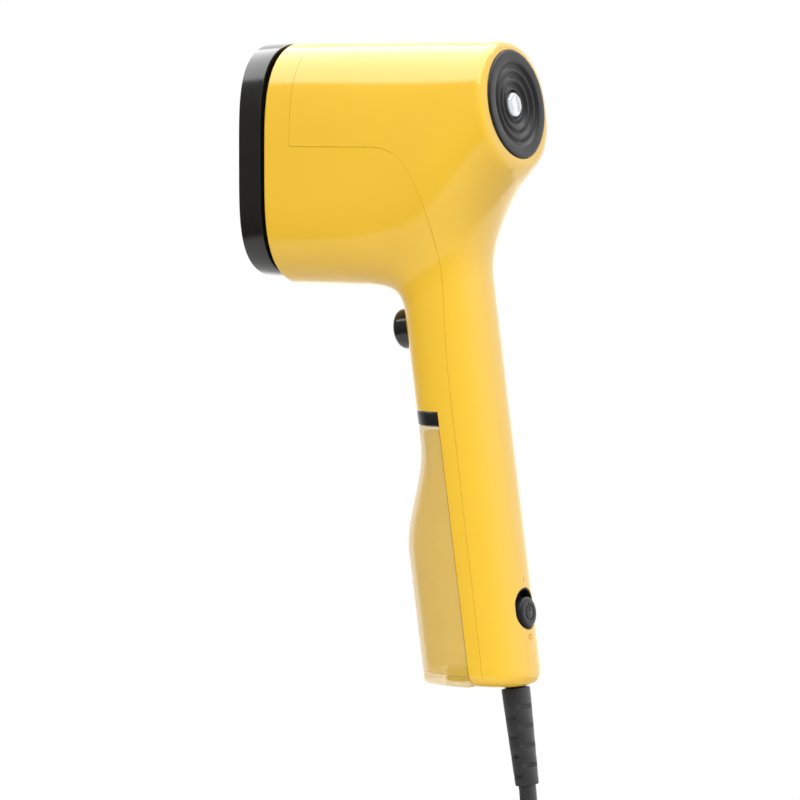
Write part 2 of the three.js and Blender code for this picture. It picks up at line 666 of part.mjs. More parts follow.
function pumpBracket() {
  const floor = box([BRACKET_FRONT, -9, PUMP_Z - 14.6], [PUMP_REAR - 8, 9, PUMP_Z - 12 - GAP]);
  const lip = box([BRACKET_FRONT, -9, PUMP_Z - 14.6], [BRACKET_FRONT + 2, 9, PUMP_Z - 9]);
  return floor.add(lip);
}

function pressureTube() {
  const start = point(PUMP_FRONT - 6 - GAP, 0, PUMP_Z);
  const end = point(BOILER_REAR + 8 + GAP, 12, 14);
  const points = [start, point(start.x - 2.4, 0, PUMP_Z), point(end.x + 2.4, end.y, end.z), end];
  return tubeAlong(points, 2.4, 10, 10);
}

const SOCKET_TOP = BAY_TOP + BAY_CEILING + GAP + 1.2 + 4.4;

function suctionTube() {
  const top = point(PUMP_REAR + 8 + GAP, 0, PUMP_Z);
  const points = [top, point(95, 0, PUMP_Z), point(98, 0, PUMP_Z - 6), point(96, 0, 4), point(93, 0, -16),
    point(92.2, 0, -34), point(93.2, 0, -48), point(94.6, 0, -58), point(95.9, 0, -70), point(93.6, 0, -79.5),
    point(85.2, 0, -80.4), point(80.4, 0, -82.2), onSocketLine(SOCKET_TOP + 2.2), onSocketLine(SOCKET_TOP + GAP)];
  return tubeAlong(points, 2.4, 8, 22);
}

function inletSocket() {
  const seat = BAY_TOP + BAY_CEILING + GAP + 1.2;
  const profile = [[3, -4.4], [4.3, -4.4], [4.3, 0], [8, 0], [8, 1.4], [3.4, 1.4], [3.4, 4.4], [1.6, 4.4], [1.6, 2], [3, 2], [3, -4.4]];
  return turned(onSocketLine(seat), UP_HANDLE, profile, 16);
}

// ---------------------------------------------------------------- water tank
function tankDepth(z) {
  return THREE.MathUtils.lerp(TANK_NECK_DEPTH, TANK_BELLY_DEPTH, ease((BELLY_START - z) / (BELLY_START - BELLY_END)));
}

/** D-shaped level section of the tank: flat behind, rounded in front. */
function tankRing(z, inset, count = 16) {
  const rear = handleAxisX(z) + (BAY_REAR - GAP) / Math.cos(LEAN) - inset;
  const depth = tankDepth(z) + BAY_REAR - GAP - 2 * inset;
  const halfWidth = HANDLE_HALF_WIDTH - 0.1 - inset;
  const ring = [];
  for (let step = 0; step <= count; step += 1) {
    const angle = (step / count - 0.5) * Math.PI;
    const forward = Math.abs(Math.cos(angle)) ** (2 / HANDLE_SQUARENESS);
    const across = Math.sign(angle) * Math.abs(Math.sin(angle)) ** (2 / HANDLE_SQUARENESS);
    ring.push(point(rear - depth * forward, halfWidth * across, z));
  }
  return ring;
}

function tankLoft(top, bottom, inset, steps, rounding = 0) {
  const rings = [];
  for (let step = 0; step <= steps; step += 1) {
    const z = THREE.MathUtils.lerp(top, bottom, step / steps);
    rings.push(tankRing(z, inset));
  }
  if (rounding > 0) rings.push(tankRing(bottom - rounding * 0.6, inset + rounding * 0.3), tankRing(bottom - rounding, inset + rounding));
  return loft(rings);
}

const NOZZLE_RADIUS = 2.7;

function waterTank() {
  const outer = tankLoft(TANK_TOP, TANK_BASE_TOP, 0, 10);
  const inner = tankLoft(TANK_TOP - TANK_WALL, TANK_BASE_TOP - 1, TANK_WALL, 8);
  const outlet = rod(onSocketLine(TANK_TOP - 6), UP_HANDLE, 10, NOZZLE_RADIUS + 0.15, 16);
  return outer.subtract(inner).subtract(outlet);
}

const FILLER_RADIUS = 6.2;
const FILLER_AT = new THREE.Vector2(handleAxisX(HANDLE_BOTTOM) - 16, 0);

function tankBase() {
  const base = tankLoft(TANK_BASE_TOP - GAP, HANDLE_BOTTOM + 0.7, 0, 1, 0.7);
  return base.subtract(rod(point(FILLER_AT.x, 0, HANDLE_BOTTOM - 2), Z_AXIS, 10, FILLER_RADIUS, 24));
}

function fillerStopper() {
  const r = FILLER_RADIUS - 0.1;
  const profile = [[0, 0.4], [r - 0.6, 0.4], [r - GAP, 1], [r - GAP, 5], [r - 1.2, 6.4], [0, 6.4]];
  return turned(point(FILLER_AT.x, 0, HANDLE_BOTTOM), Z_AXIS, profile, 24);
}

const COLLAR_TOP = BAY_TOP - GAP;
const KEY_WIDTH = 12;

/** Room for the latch key and its spring inside the tank collar. */
function keyRoom(clearance) {
  const z = COLLAR_TOP - COLLAR_HEIGHT / 2;
  const front = handleAxisX(z) - TANK_NECK_DEPTH;
  const high = COLLAR_HEIGHT / 2 - 0.9 + clearance;
  const wide = KEY_WIDTH / 2 + clearance;
  return { z, front, high, wide };
}

function tankCollar() {
  const rings = [tankRing(COLLAR_TOP, 0.1), tankRing(COLLAR_TOP - COLLAR_HEIGHT, 0.1)];
  const room = keyRoom(GAP);
  const pocket = box([room.front - 3, -room.wide, room.z - room.high], [room.front + 8, room.wide, room.z + room.high]);
  const passage = rod(onSocketLine(COLLAR_TOP - 10), UP_HANDLE, 14, NOZZLE_RADIUS + 0.15, 16);
  return loft(rings).subtract(pocket).subtract(passage);
}

function latchKey() {
  const room = keyRoom(0);
  const outer = loft([tankRing(room.z + room.high, -0.4), tankRing(room.z - room.high, -0.4)]);
  const block = box([room.front - 3, -room.wide, room.z - room.high], [room.front + 3.4, room.wide, room.z + room.high]);
  return outer.intersect(block);
}

function latchSpring() {
  const room = keyRoom(0);
  return coilSpring(point(room.front + 3.7, 0, room.z), X_AXIS, 4, 1.3, 0.25, 3);
}

function tankNozzle() {
  const profile = [[1.2, 0], [3.05, 0], [3.05, 1.3], [NOZZLE_RADIUS, 1.3], [NOZZLE_RADIUS, 14.2], [1.2, 14.2], [1.2, 0]];
  return turned(onSocketLine(TANK_TOP - TANK_WALL - 2.4), UP_HANDLE, profile, 14);
}

function dipTube() {
  const points = [TANK_TOP - TANK_WALL - 2.7, -135, -168, TANK_BASE_TOP + 3].map((z) => onSocketLine(z));
  return tubeAlong(points, 1.8, 8, 12);
}

// ---------------------------------------------------------------- power switch and electrics
const WELL_FLOOR = 13.4;         // floor of the switch recess, from the handle axis

function switchWell() {
  const cup = ovalRearward(WELL_RADIUS, WELL_FLOOR - 1, 24).subtract(ovalRearward(WELL_RADIUS - WELL_WALL, WELL_FLOOR, 26));
  const slot = handleBox(SWITCH_Z, WELL_FLOOR, 0, [4, 3.6, 8.6]);
  const region = casingSolid(HEAD_FRONT, HANDLE_BOTTOM, -0.4, 24);
  return mainBody(cup.subtract(slot).intersect(region));
}

function switchKnob() {
  const lowered = SWITCH_Z - SWITCH_TRAVEL / 2;
  const start = atHandle(lowered, WELL_FLOOR + GAP);
  const r = KNOB_RADIUS;
  const profile = [[0, 0], [r, 0], [r, 4.6], [r - 0.3, 5.2], [r - 1.1, 5.5], [0, 5.8]];
  const knob = turned(start, REARWARD, profile, 24);
  const tongue = handleBox(lowered, WELL_FLOOR - 1.4, 0, [4, 3, 4]);
  return knob.add(tongue);
}

function powerSwitch() {
  return handleBox(SWITCH_Z, 7.4, 0, [4.6, 12, 19]);
}

function controlBoard() {
  const board = handleBox(-138, 3.6, 0, [1.6, 22, 52]);
  const relay = handleBox(-126, 6.2, 4, [4, 10, 14]);
  const chip = handleBox(-148, 5.2, -3, [2, 8, 8]);
  const holes = SCREW_HEIGHTS.map((z) => rod(atHandle(z, -2), REARWARD, 14, 4, 16));
  return board.add(relay).add(chip).subtract(joined(holes));
}

function terminalBlock() {
  const block = handleBox(-192.8, 6, 0, [8, 20, 6.4]);
  const ways = [-6, 0, 6].map((y) => rod(atHandle(-192.8, -4, y), REARWARD, 20, 1.6, 10));
  return block.subtract(joined(ways));
}

const CLAMP_AT = -199;
const CLAMP_SCREW_Y = 9;

function cordClamp() {
  const bar = handleBox(CLAMP_AT, 5.2, 0, [4, 24, 5]);
  const seat = rod(atHandle(CLAMP_AT + 8, 9.2), DOWN_HANDLE, 20, CORD_RADIUS + 0.2, 16);
  const holes = [-CLAMP_SCREW_Y, CLAMP_SCREW_Y].map((y) => rod(atHandle(CLAMP_AT, 0, y), REARWARD, 12, 1.5, 12));
  return bar.subtract(seat).subtract(joined(holes));
}

function clampScrew(y) {
  const profile = [[0, 0], [2.4, 0], [2.4, 1.5], [1.25, 1.5], [1.25, 8], [0, 8]];
  return turned(atHandle(CLAMP_AT, 1.4, y), REARWARD, profile, 8);
}

function housingScrew(z) {
  const profile = [[0, 0], [2.7, 0], [2.7, 1.1], [SCREW_RADIUS, 1.1], [SCREW_RADIUS, 12.4], [0, 12.4]];
  return turned(atHandle(z, SCREW_HEAD), REARWARD, profile, 8);
}

function wireLoom() {
  const points = [atHandle(-108, 8, 7), atHandle(-98, 8, 8.5), atHandle(-84, 6.5, 9.5), atHandle(-62, 5, 10)];
  points.push(point(80, 12, -40), point(66, 14, -22), point(52, 14, -14), point(44, 8, -14), point(40, 2, -14));
  return tubeAlong(points, 2, 8, 20);
}

// ---------------------------------------------------------------- mains lead
const RELIEF_RADIUS = 5.6;

function reliefStart(distance) {
  return point(RELIEF_EXIT_X, 0, HANDLE_BOTTOM).addScaledVector(DOWN_HANDLE, distance);
}

function strainRelief() {
  const r = RELIEF_RADIUS;
  const profile = [[0, -5.2], [5.1, -5.2], [5.1, -3.8], [4.3, -3.8], [4.3, 1.3], [r, 1.3], [r, 7.6]];
  const ribs = 4;
  const pitch = 7.4;
  const groove = 1.6;
  for (let rib = 0; rib < ribs; rib += 1) {
    const start = 7.6 + rib * pitch;
    const outer = r - 0.25 * (rib + 1);
    profile.push([outer - 1.4, start], [outer - 1.4, start + groove], [outer, start + groove], [outer, start + pitch]);
  }
  profile.push([CORD_RADIUS + 0.6, RELIEF_LENGTH], [0, RELIEF_LENGTH]);
  return turned(reliefStart(0), DOWN_HANDLE, profile, 10);
}

const HANK_HALF_WIDTH = HANK_RADIUS + CORD_RADIUS + 0.2;

function powerCord() {
  const start = reliefStart(RELIEF_LENGTH + GAP);
  const side = HANK_CENTRE_X + HANK_RADIUS;
  const points = [start, reliefStart(RELIEF_LENGTH + 6), point(side, 0, HANK_TOP + 31.5), point(side, 0, HANK_TOP + 14.6)];
  return tubeAlong(points, CORD_RADIUS, 10, 8).subtract(hankSolid(GAP));
}

/** The whole hank as one solid: an outline with round ends and a slot through it. */
function hankSolid(extra) {
  const outline = new THREE.Shape();
  const slot = new THREE.Path();
  const low = HANK_TOP - HANK_RUN;
  const outer = HANK_HALF_WIDTH + extra;
  const inner = INNER_BEND - CORD_RADIUS - extra;
  outline.absarc(HANK_CENTRE_X, HANK_TOP, outer, 0, Math.PI, false);
  outline.absarc(HANK_CENTRE_X, low, outer, Math.PI, Math.PI * 2, false);
  slot.absarc(HANK_CENTRE_X, HANK_TOP, inner, 0, Math.PI, false);
  slot.absarc(HANK_CENTRE_X, low, inner, Math.PI, Math.PI * 2, false);
  outline.holes.push(slot);
  return slabAcross(outline, HANK_HALF_THICKNESS + extra);
}

function cordHank() {
  return hankSolid(0);
}

const TIE_Z = HANK_TOP - HANK_RUN * 0.45;
const TIE_HEIGHT = 14;
const TAIL_Y = HANK_HALF_THICKNESS + CORD_RADIUS + GAP + 0.1;

function cordTie() {
  const low = -HANK_HALF_THICKNESS - GAP;
  const high = TAIL_Y + CORD_RADIUS + GAP;
  const half = HANK_HALF_WIDTH + GAP;
  const band = 1.6;
  const outer = box([HANK_CENTRE_X - half - band, low - band, TIE_Z - TIE_HEIGHT / 2],
    [HANK_CENTRE_X + half + band, high + band, TIE_Z + TIE_HEIGHT / 2]);
  const inner = box([HANK_CENTRE_X - half, low, TIE_Z - TIE_HEIGHT], [HANK_CENTRE_X + half, high, TIE_Z + TIE_HEIGHT]);
  return outer.subtract(inner);
}

const PLUG_X = HANK_CENTRE_X + 12;
const PLUG_TOP = TIE_Z - 22;
const PLUG_Y = HANK_HALF_THICKNESS + 13.6;

function cordTail() {
  const side = HANK_CENTRE_X + INNER_BEND;
  const points = [point(side, TAIL_Y, HANK_TOP), point(side - 0.6, TAIL_Y, HANK_TOP - 8)];
  points.push(point(PLUG_X, TAIL_Y, TIE_Z + 6), point(PLUG_X, TAIL_Y, TIE_Z - 8));
  points.push(point(PLUG_X, TAIL_Y + 2.4, TIE_Z - 15), point(PLUG_X, TAIL_Y + 3, PLUG_TOP + 3));
  points.push(point(PLUG_X, TAIL_Y + 3, PLUG_TOP + GAP));
  return tubeAlong(points, CORD_RADIUS, 10, 12);
}

function plugBody() {
  const start = point(PLUG_X, TAIL_Y + 3, PLUG_TOP);
  const shoulder = turned(start, Z_AXIS.clone().negate(), [[0, 0], [5, 0], [5.4, 10], [8.6, 16], [8.6, 20], [0, 20]], 20);
  const body = box([PLUG_X - 14, HANK_HALF_THICKNESS + GAP, PLUG_TOP - 40], [PLUG_X + 14, PLUG_Y + 4.6, PLUG_TOP - 18]);
  return shoulder.add(body).subtract(box([PLUG_X - 40, -20, PLUG_TOP - 60], [PLUG_X + 40, HANK_HALF_THICKNESS + GAP, PLUG_TOP + 5]));
}

function plugPin(side) {
  const start = point(PLUG_X + side * 9.5, HANK_HALF_THICKNESS + GAP + 8.8, PLUG_TOP - 40 - GAP);
  return turned(start, Z_AXIS.clone().negate(), [[0, 0], [2.4, 0], [2.4, 17], [1.6, 19], [0, 19]], 14);
}

// ---------------------------------------------------------------- assembly
const steamer = new THREE.Group();
steamer.position.copy(GRIP).negate();

function place(name, solid, finish) {
  const mesh = new THREE.Mesh(toGeometry(solid), new THREE.MeshStandardMaterial(finish));
  mesh.name = name;
  steamer.add(mesh);
}

place('front_shell', frontShell(), YELLOW);
place('rear_shell', rearShell(), YELLOW);

place('steam_bezel', steamBezel(), BLACK_GLOSS);
place('carrier_ring', carrierRing(), BLACK_SATIN);
place('steam_plate', steamPlate(), ALUMINIUM);
place('boiler_gasket', slabAlongX(ringShape(BOILER_HALF_WIDTH, BOILER_HALF_HEIGHT, 3), 3.5, 4.5), SILICONE);
place('boiler', boiler(), ALUMINIUM);
place('boiler_cover', boilerCover(), ALUMINIUM);
place('heating_element', tubeAlong(elementPath(), 3.1, 8, 18), STEEL);
COVER_SCREWS.forEach((at, index) => place(`cover_screw_${index + 1}`, coverScrew(at), STEEL));
place('thermostat', thermostat(), STEEL);
place('thermal_fuse', thermalFuse(), STEEL);

place('rear_cap', rearCap(), BLACK_SATIN);
place('status_lens', statusLens(), CLEAR);
place('lamp_board', lampBoard(), BOARD_GREEN);

place('trigger', trigger(), BLACK_GLOSS);
place('trigger_spring', coilSpring(atHandle(TRIGGER_Z, SPRING_START), REARWARD, SPRING_END - SPRING_START, 4, 0.4, 4), STEEL);
place('trigger_guide', triggerGuide(), NATURAL);
place('microswitch', microswitch(), BLACK_SATIN);
place('switch_plunger', switchPlunger(), NATURAL);

place('pump_body', pumpBody(), NATURAL);
place('pump_plunger', pumpPlunger(), STEEL);
place('pump_spring', coilSpring(point(PUMP_SPRING_START, 0, PUMP_Z), X_AXIS, PUMP_REAR - 2.3 - PUMP_SPRING_START, 3, 0.35, 4), STEEL);
place('pump_end', pumpEnd(), BRASS);
place('pump_bracket', pumpBracket(), STEEL);
place('pressure_tube', pressureTube(), SILICONE);
place('suction_tube', suctionTube(), SILICONE);
place('inlet_socket', inletSocket(), NATURAL);

place('water_tank', waterTank(), TANK_TINT);
place('tank_base', tankBase(), TANK_TINT);
place('filler_stopper', fillerStopper(), RUBBER);
place('tank_collar', tankCollar(), BLACK_GLOSS);
place('latch_key', latchKey(), BLACK_GLOSS);
place('latch_spring', latchSpring(), STEEL);
place('tank_nozzle', tankNozzle(), NATURAL);
place('dip_tube', dipTube(), SILICONE);

place('switch_well', switchWell(), BLACK_SATIN);
place('switch_knob', switchKnob(), BLACK_SATIN);
place('power_switch', powerSwitch(), BLACK_SATIN);
place('control_board', controlBoard(), BOARD_GREEN);
place('terminal_block', terminalBlock(), NATURAL);
place('cord_clamp', cordClamp(), NATURAL);
[-CLAMP_SCREW_Y, CLAMP_SCREW_Y].forEach((y, index) => place(`clamp_screw_${index + 1}`, clampScrew(y), STEEL));
SCREW_HEIGHTS.forEach((z, index) => place(`housing_screw_${index + 1}`, housingScrew(z), STEEL));
place('wire_loom', wireLoom(), COPPER);

place('strain_relief', strainRelief(), RUBBER);
place('power_cord', powerCord(), RUBBER);
place('cord_hank', cordHank(), RUBBER);
place('cord_tie', cordTie(), BLACK_SATIN);
place('cord_tail', cordTail(), RUBBER);
place('plug_body', plugBody(), RUBBER);
place('plug_pin_1', plugPin(-1), BRASS);
place('plug_pin_2', plugPin(1), BRASS);

export default steamer;
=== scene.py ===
"""Handheld garment steamer: yellow gloss casing, black steam head, ridged lamp cap, see-through water
tank in the handle, slide switch and a tied hank of mains lead. Metres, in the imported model's frame."""
import json
import math

import bpy
import numpy as np
from mathutils import Matrix, Vector


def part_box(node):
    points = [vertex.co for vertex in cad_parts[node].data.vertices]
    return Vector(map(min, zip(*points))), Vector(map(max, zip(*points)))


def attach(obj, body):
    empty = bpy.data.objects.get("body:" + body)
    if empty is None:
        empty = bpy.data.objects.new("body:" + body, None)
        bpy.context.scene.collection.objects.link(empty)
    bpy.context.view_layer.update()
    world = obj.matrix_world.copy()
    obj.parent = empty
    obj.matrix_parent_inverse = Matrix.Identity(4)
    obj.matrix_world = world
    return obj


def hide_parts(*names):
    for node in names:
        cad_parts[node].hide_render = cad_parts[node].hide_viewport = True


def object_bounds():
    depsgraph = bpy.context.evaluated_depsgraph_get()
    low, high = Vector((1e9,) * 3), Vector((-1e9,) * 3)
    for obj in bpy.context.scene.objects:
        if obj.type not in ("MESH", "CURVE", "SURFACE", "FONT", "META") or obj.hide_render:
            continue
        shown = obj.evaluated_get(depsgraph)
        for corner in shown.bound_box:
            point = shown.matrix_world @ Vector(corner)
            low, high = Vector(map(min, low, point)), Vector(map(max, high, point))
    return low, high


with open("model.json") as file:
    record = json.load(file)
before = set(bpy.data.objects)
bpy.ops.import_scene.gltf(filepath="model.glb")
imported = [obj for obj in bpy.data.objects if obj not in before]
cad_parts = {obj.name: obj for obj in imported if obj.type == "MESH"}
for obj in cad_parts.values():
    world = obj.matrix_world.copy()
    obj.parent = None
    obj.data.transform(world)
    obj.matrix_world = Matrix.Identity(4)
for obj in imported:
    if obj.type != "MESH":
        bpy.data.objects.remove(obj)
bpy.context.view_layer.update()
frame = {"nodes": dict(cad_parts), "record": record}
MM = 0.001

# ------------------------------------------------------------------ where things are
# Pieces are laid out in millimetres from the steam head's front (X = 0) and its middle height
# (Z = 0); spot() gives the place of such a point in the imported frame.
BEZEL_LOW, BEZEL_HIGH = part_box("steam_bezel")
BEZEL_FRONT, BEZEL_MIDDLE = 0.8, 1.2
ORIGIN = Vector((BEZEL_LOW.x - BEZEL_FRONT * MM, 0.0,
                 (BEZEL_LOW.z + BEZEL_HIGH.z) / 2 - BEZEL_MIDDLE * MM))

LEAN = math.radians(7.9)
HANDLE_X, HANDLE_Z = 87.5, -97.0
HANDLE_BOTTOM = -207.0
REARWARD = Vector((math.cos(LEAN), 0, math.sin(LEAN)))
DOWN_HANDLE = Vector((math.sin(LEAN), 0, -math.cos(LEAN)))
X_AXIS = Vector((1, 0, 0))
CAP_CENTRE = Vector((111.4, 0, 24))
CAP_TILT = math.radians(8.4)
CAP_AXIS = Vector((math.cos(CAP_TILT), 0, math.sin(CAP_TILT)))


def spot(x, y, z):
    return ORIGIN + Vector((x, y, z)) * MM


def axis_x(z):
    """Where the handle's axis is at height z."""
    return HANDLE_X + (HANDLE_Z - z) * math.tan(LEAN)


def on_handle(z, rearward=0.0, y=0.0):
    """A point beside the handle's axis, in layout millimetres."""
    return Vector((axis_x(z), y, z)) + REARWARD * rearward


# ------------------------------------------------------------------ camera
def make_camera():
    azimuth, elevation = math.radians(30.8), math.radians(3.7)
    right = Vector((math.cos(azimuth), math.sin(azimuth), 0))
    look = Vector((-math.sin(azimuth) * math.cos(elevation), math.cos(azimuth) * math.cos(elevation),
                   -math.sin(elevation)))
    up = right.cross(look)
    target = ORIGIN + right * 0.0499 - up * 0.0967
    camera = bpy.data.objects.new("camera", bpy.data.cameras.new("camera"))
    camera.data.lens = 220.9
    camera.data.sensor_width = 36
    camera.location = target - look * 2.0
    camera.rotation_mode = "QUATERNION"
    camera.rotation_quaternion = look.to_track_quat("-Z", "Y")
    bpy.context.scene.collection.objects.link(camera)
    bpy.context.scene.camera = camera


make_camera()


# ------------------------------------------------------------------ materials
def colour(code):
    """Linear colour of an sRGB hex code."""
    steps = [int(code[i:i + 2], 16) / 255 for i in (1, 3, 5)]
    return [s / 12.92 if s <= 0.04045 else ((s + 0.055) / 1.055) ** 2.4 for s in steps] + [1.0]


def add(tree, kind, settings, links=None, **attributes):
    """Adds a node with its settings on its sockets, and links {socket: output} into it."""
    node = tree.nodes.new(kind)
    for name, value in attributes.items():
        setattr(node, name, value)
    for name, value in settings.items():
        node.inputs[name].default_value = value
    for name, output in (links or {}).items():
        tree.links.new(output, node.inputs[name])
    return node


def new_material(name, settings):
    material = bpy.data.materials.new(name)
    material.use_nodes = True
    tree = material.node_tree
    tree.nodes.clear()
    output = add(tree, "ShaderNodeOutputMaterial", {})
    shader = add(tree, "ShaderNodeBsdfPrincipled", settings)
    tree.links.new(shader.outputs["BSDF"], output.inputs["Surface"])
    place = add(tree, "ShaderNodeTexCoord", {})
    return material, tree, shader, place.outputs["Object"]


def ramp_between(tree, factor, low, high, start=0.0, end=1.0):
    """A value that goes from low to high as the factor goes from start to end."""
    node = add(tree, "ShaderNodeMapRange", {"From Min": start, "From Max": end, "To Min": low, "To Max": high},
               {"Value": factor})
    return node.outputs["Result"]


def mottled(tree, shader, place, first, second, grain_mm, detail=3.0, contrast=0.5):
    """Colour that wanders between two shades in patches of about grain_mm."""
    noise = add(tree, "ShaderNodeTexNoise", {"Scale": 1000 / grain_mm, "Detail": detail}, {"Vector": place})
    share = ramp_between(tree, noise.outputs["Fac"], 0.0, 1.0, 0.5 - contrast / 2, 0.5 + contrast / 2)
    mix = add(tree, "ShaderNodeMix", {}, {"Factor": share}, data_type="RGBA")
    mix.inputs["A"].default_value = colour(first)
    mix.inputs["B"].default_value = colour(second)
    tree.links.new(mix.outputs["Result"], shader.inputs["Base Color"])
    return noise.outputs["Fac"]


def uneven_gloss(tree, shader, place, low, high, patch_mm):
    noise = add(tree, "ShaderNodeTexNoise", {"Scale": 1000 / patch_mm, "Detail": 4.0}, {"Vector": place})
    tree.links.new(ramp_between(tree, noise.outputs["Fac"], low, high, 0.3, 0.7), shader.inputs["Roughness"])


def relief(tree, shader, height, depth_mm, strength=1.0):
    bump = add(tree, "ShaderNodeBump", {"Strength": strength, "Distance": depth_mm * MM}, {"Height": height})
    tree.links.new(bump.outputs["Normal"], shader.inputs["Normal"])


def gloss_abs_yellow():
    # Injection-moulded ABS from a polished tool: deep even yellow, mirror-like highlights with
    # soft edges, and a very slight waviness where the wall has sunk a little.
    material, tree, shader, place = new_material("yellow_gloss_abs", {"IOR": 1.53, "Coat Weight": 0.0})
    mottled(tree, shader, place, "#EDBE36", "#EFC03A", 22, 2.0, 0.8)
    uneven_gloss(tree, shader, place, 0.13, 0.17, 9)
    waves = add(tree, "ShaderNodeTexNoise", {"Scale": 1000 / 14, "Detail": 1.0}, {"Vector": place})
    relief(tree, shader, waves.outputs["Fac"], 0.02, 0.5)
    return material


def gloss_abs_black():
    # The same polished ABS in black: nearly no colour of its own, so it shows the room's lights.
    material, tree, shader, place = new_material("black_gloss_abs", {"IOR": 1.55})
    mottled(tree, shader, place, "#161514", "#1C1B19", 12, 2.0, 0.8)
    uneven_gloss(tree, shader, place, 0.16, 0.22, 6)
    return material


def satin_abs_black():
    # Black ABS from a spark-eroded tool: a fine even grain that spreads the highlights.
    # The real grain is about 0.1 mm; it is drawn at 0.3 mm so that it shows.
    material, tree, shader, place = new_material("black_satin_abs", {"IOR": 1.5, "Specular IOR Level": 0.2})
    grain = mottled(tree, shader, place, "#18181A", "#1F1F21", 0.3, 2.0, 0.9)
    uneven_gloss(tree, shader, place, 0.36, 0.46, 5)
    relief(tree, shader, grain, 0.03, 0.35)
    return material


def clear_polycarbonate():
    # Polished lens moulding over the lamp: colourless, with sharp small highlights.
    material, tree, shader, place = new_material(
        "clear_polycarbonate", {"IOR": 1.58, "Transmission Weight": 0.82, "Coat Weight": 0.3})
    mottled(tree, shader, place, "#E9EEF2", "#F7FAFC", 3, 1.0, 0.8)
    uneven_gloss(tree, shader, place, 0.04, 0.09, 2)
    return material


def tinted_san():
    # Straw-tinted SAN, milky enough to hide what is inside: every wall adds a little straw colour,
    # so the wall's edge stays pale and the hollow behind two walls looks deeper.
    material, tree, shader, place = new_material("straw_tinted_san", {"IOR": 1.5, "Alpha": 0.48})
    mottled(tree, shader, place, "#EAC448", "#EDC952", 14, 1.0, 0.8)
    uneven_gloss(tree, shader, place, 0.1, 0.16, 8)
    return material


def cast_aluminium():
    # Gravity-cast block as it leaves the mould: dull grey with a coarse sandy skin.
    material, tree, shader, place = new_material("cast_aluminium", {"Metallic": 1.0})
    skin = mottled(tree, shader, place, "#A5A8AB", "#C0C3C6", 0.7, 4.0, 0.7)
    uneven_gloss(tree, shader, place, 0.42, 0.6, 1.5)
    relief(tree, shader, skin, 0.06, 0.6)
    return material


def coated_plate():
    # Aluminium plate under a thin grey release coat: soft metallic sheen with fine speckle.
    material, tree, shader, place = new_material("coated_plate", {"Metallic": 0.7})
    speck = mottled(tree, shader, place, "#8E9194", "#A9ACAF", 0.5, 3.0, 0.6)
    uneven_gloss(tree, shader, place, 0.28, 0.4, 3)
    relief(tree, shader, speck, 0.02, 0.4)
    return material


def drawn_steel():
    # Cold-drawn zinc-plated steel: bright, with hair-fine scratches along its length.
    material, tree, shader, place = new_material("zinc_plated_steel", {"Metallic": 1.0})
    mottled(tree, shader, place, "#9DA1A4", "#B9BCBE", 1.5, 3.0, 0.8)
    stretch = add(tree, "ShaderNodeMapping", {"Scale": (1.0, 1.0, 0.08)}, {"Vector": place})
    lines = add(tree, "ShaderNodeTexNoise", {"Scale": 4000.0, "Detail": 2.0},
                {"Vector": stretch.outputs["Vector"]})
    tree.links.new(ramp_between(tree, lines.outputs["Fac"], 0.22, 0.42), shader.inputs["Roughness"])
    return material


def natural_nylon():
    # Unpigmented nylon: milky off-white, slightly waxy.
    material, tree, shader, place = new_material("natural_nylon", {"IOR": 1.53})
    mottled(tree, shader, place, "#D6D0C2", "#E2DCCF", 4, 2.0, 0.8)
    uneven_gloss(tree, shader, place, 0.42, 0.55, 3)
    return material


def plated_brass():
    # Machined brass pins and fittings: warm, with turning marks about 0.15 mm apart, drawn at 0.3 mm.
    material, tree, shader, place = new_material("turned_brass", {"Metallic": 1.0})
    mottled(tree, shader, place, "#B7934C", "#C9A964", 2, 2.0, 0.8)
    rings = add(tree, "ShaderNodeTexWave", {"Scale": 1000 / 0.3 / 6.283, "Distortion": 0.4}, {"Vector": place},
                wave_type="BANDS", bands_direction="Z")
    tree.links.new(ramp_between(tree, rings.outputs["Fac"], 0.2, 0.34), shader.inputs["Roughness"])
    return material


def milky_silicone():
    # Extruded silicone: pale, slightly dusty.
    material, tree, shader, place = new_material("milky_silicone", {"IOR": 1.41})
    mottled(tree, shader, place, "#BDB8AE", "#CBC6BC", 3, 3.0, 0.8)
    uneven_gloss(tree, shader, place, 0.45, 0.6, 2)
    return material


def black_pvc():
    # Soft PVC of leads and their sleeves: charcoal, dull, with a faint extruded skin of 0.4 mm.
    material, tree, shader, place = new_material("black_pvc", {"IOR": 1.5})
    skin = mottled(tree, shader, place, "#1E1E1F", "#272728", 0.4, 3.0, 0.8)
    uneven_gloss(tree, shader, place, 0.42, 0.55, 3)
    relief(tree, shader, skin, 0.03, 0.4)
    return material


def green_laminate():
    # Printed circuit laminate under green lacquer, with paler copper tracks about 1.3 mm apart.
    material, tree, shader, place = new_material("green_laminate", {"IOR": 1.5, "Roughness": 0.4})
    tracks = add(tree, "ShaderNodeTexBrick",
                 {"Scale": 380.0, "Mortar Size": 0.03, "Color1": colour("#1D5738"), "Color2": colour("#1F5F3C"),
                  "Mortar": colour("#4C8A55")}, {"Vector": place})
    tree.links.new(tracks.outputs["Color"], shader.inputs["Base Color"])
    relief(tree, shader, tracks.outputs["Fac"], 0.03, 0.5)
    return material


def switch_thermoplastic():
    # Glass-filled PBT of bought-in switches: flat black with pale fibre flecks.
    material, tree, shader, place = new_material("glass_filled_pbt", {"IOR": 1.5})
    mottled(tree, shader, place, "#1A1A1A", "#262626", 0.6, 4.0, 0.4)
    uneven_gloss(tree, shader, place, 0.5, 0.65, 2)
    return material


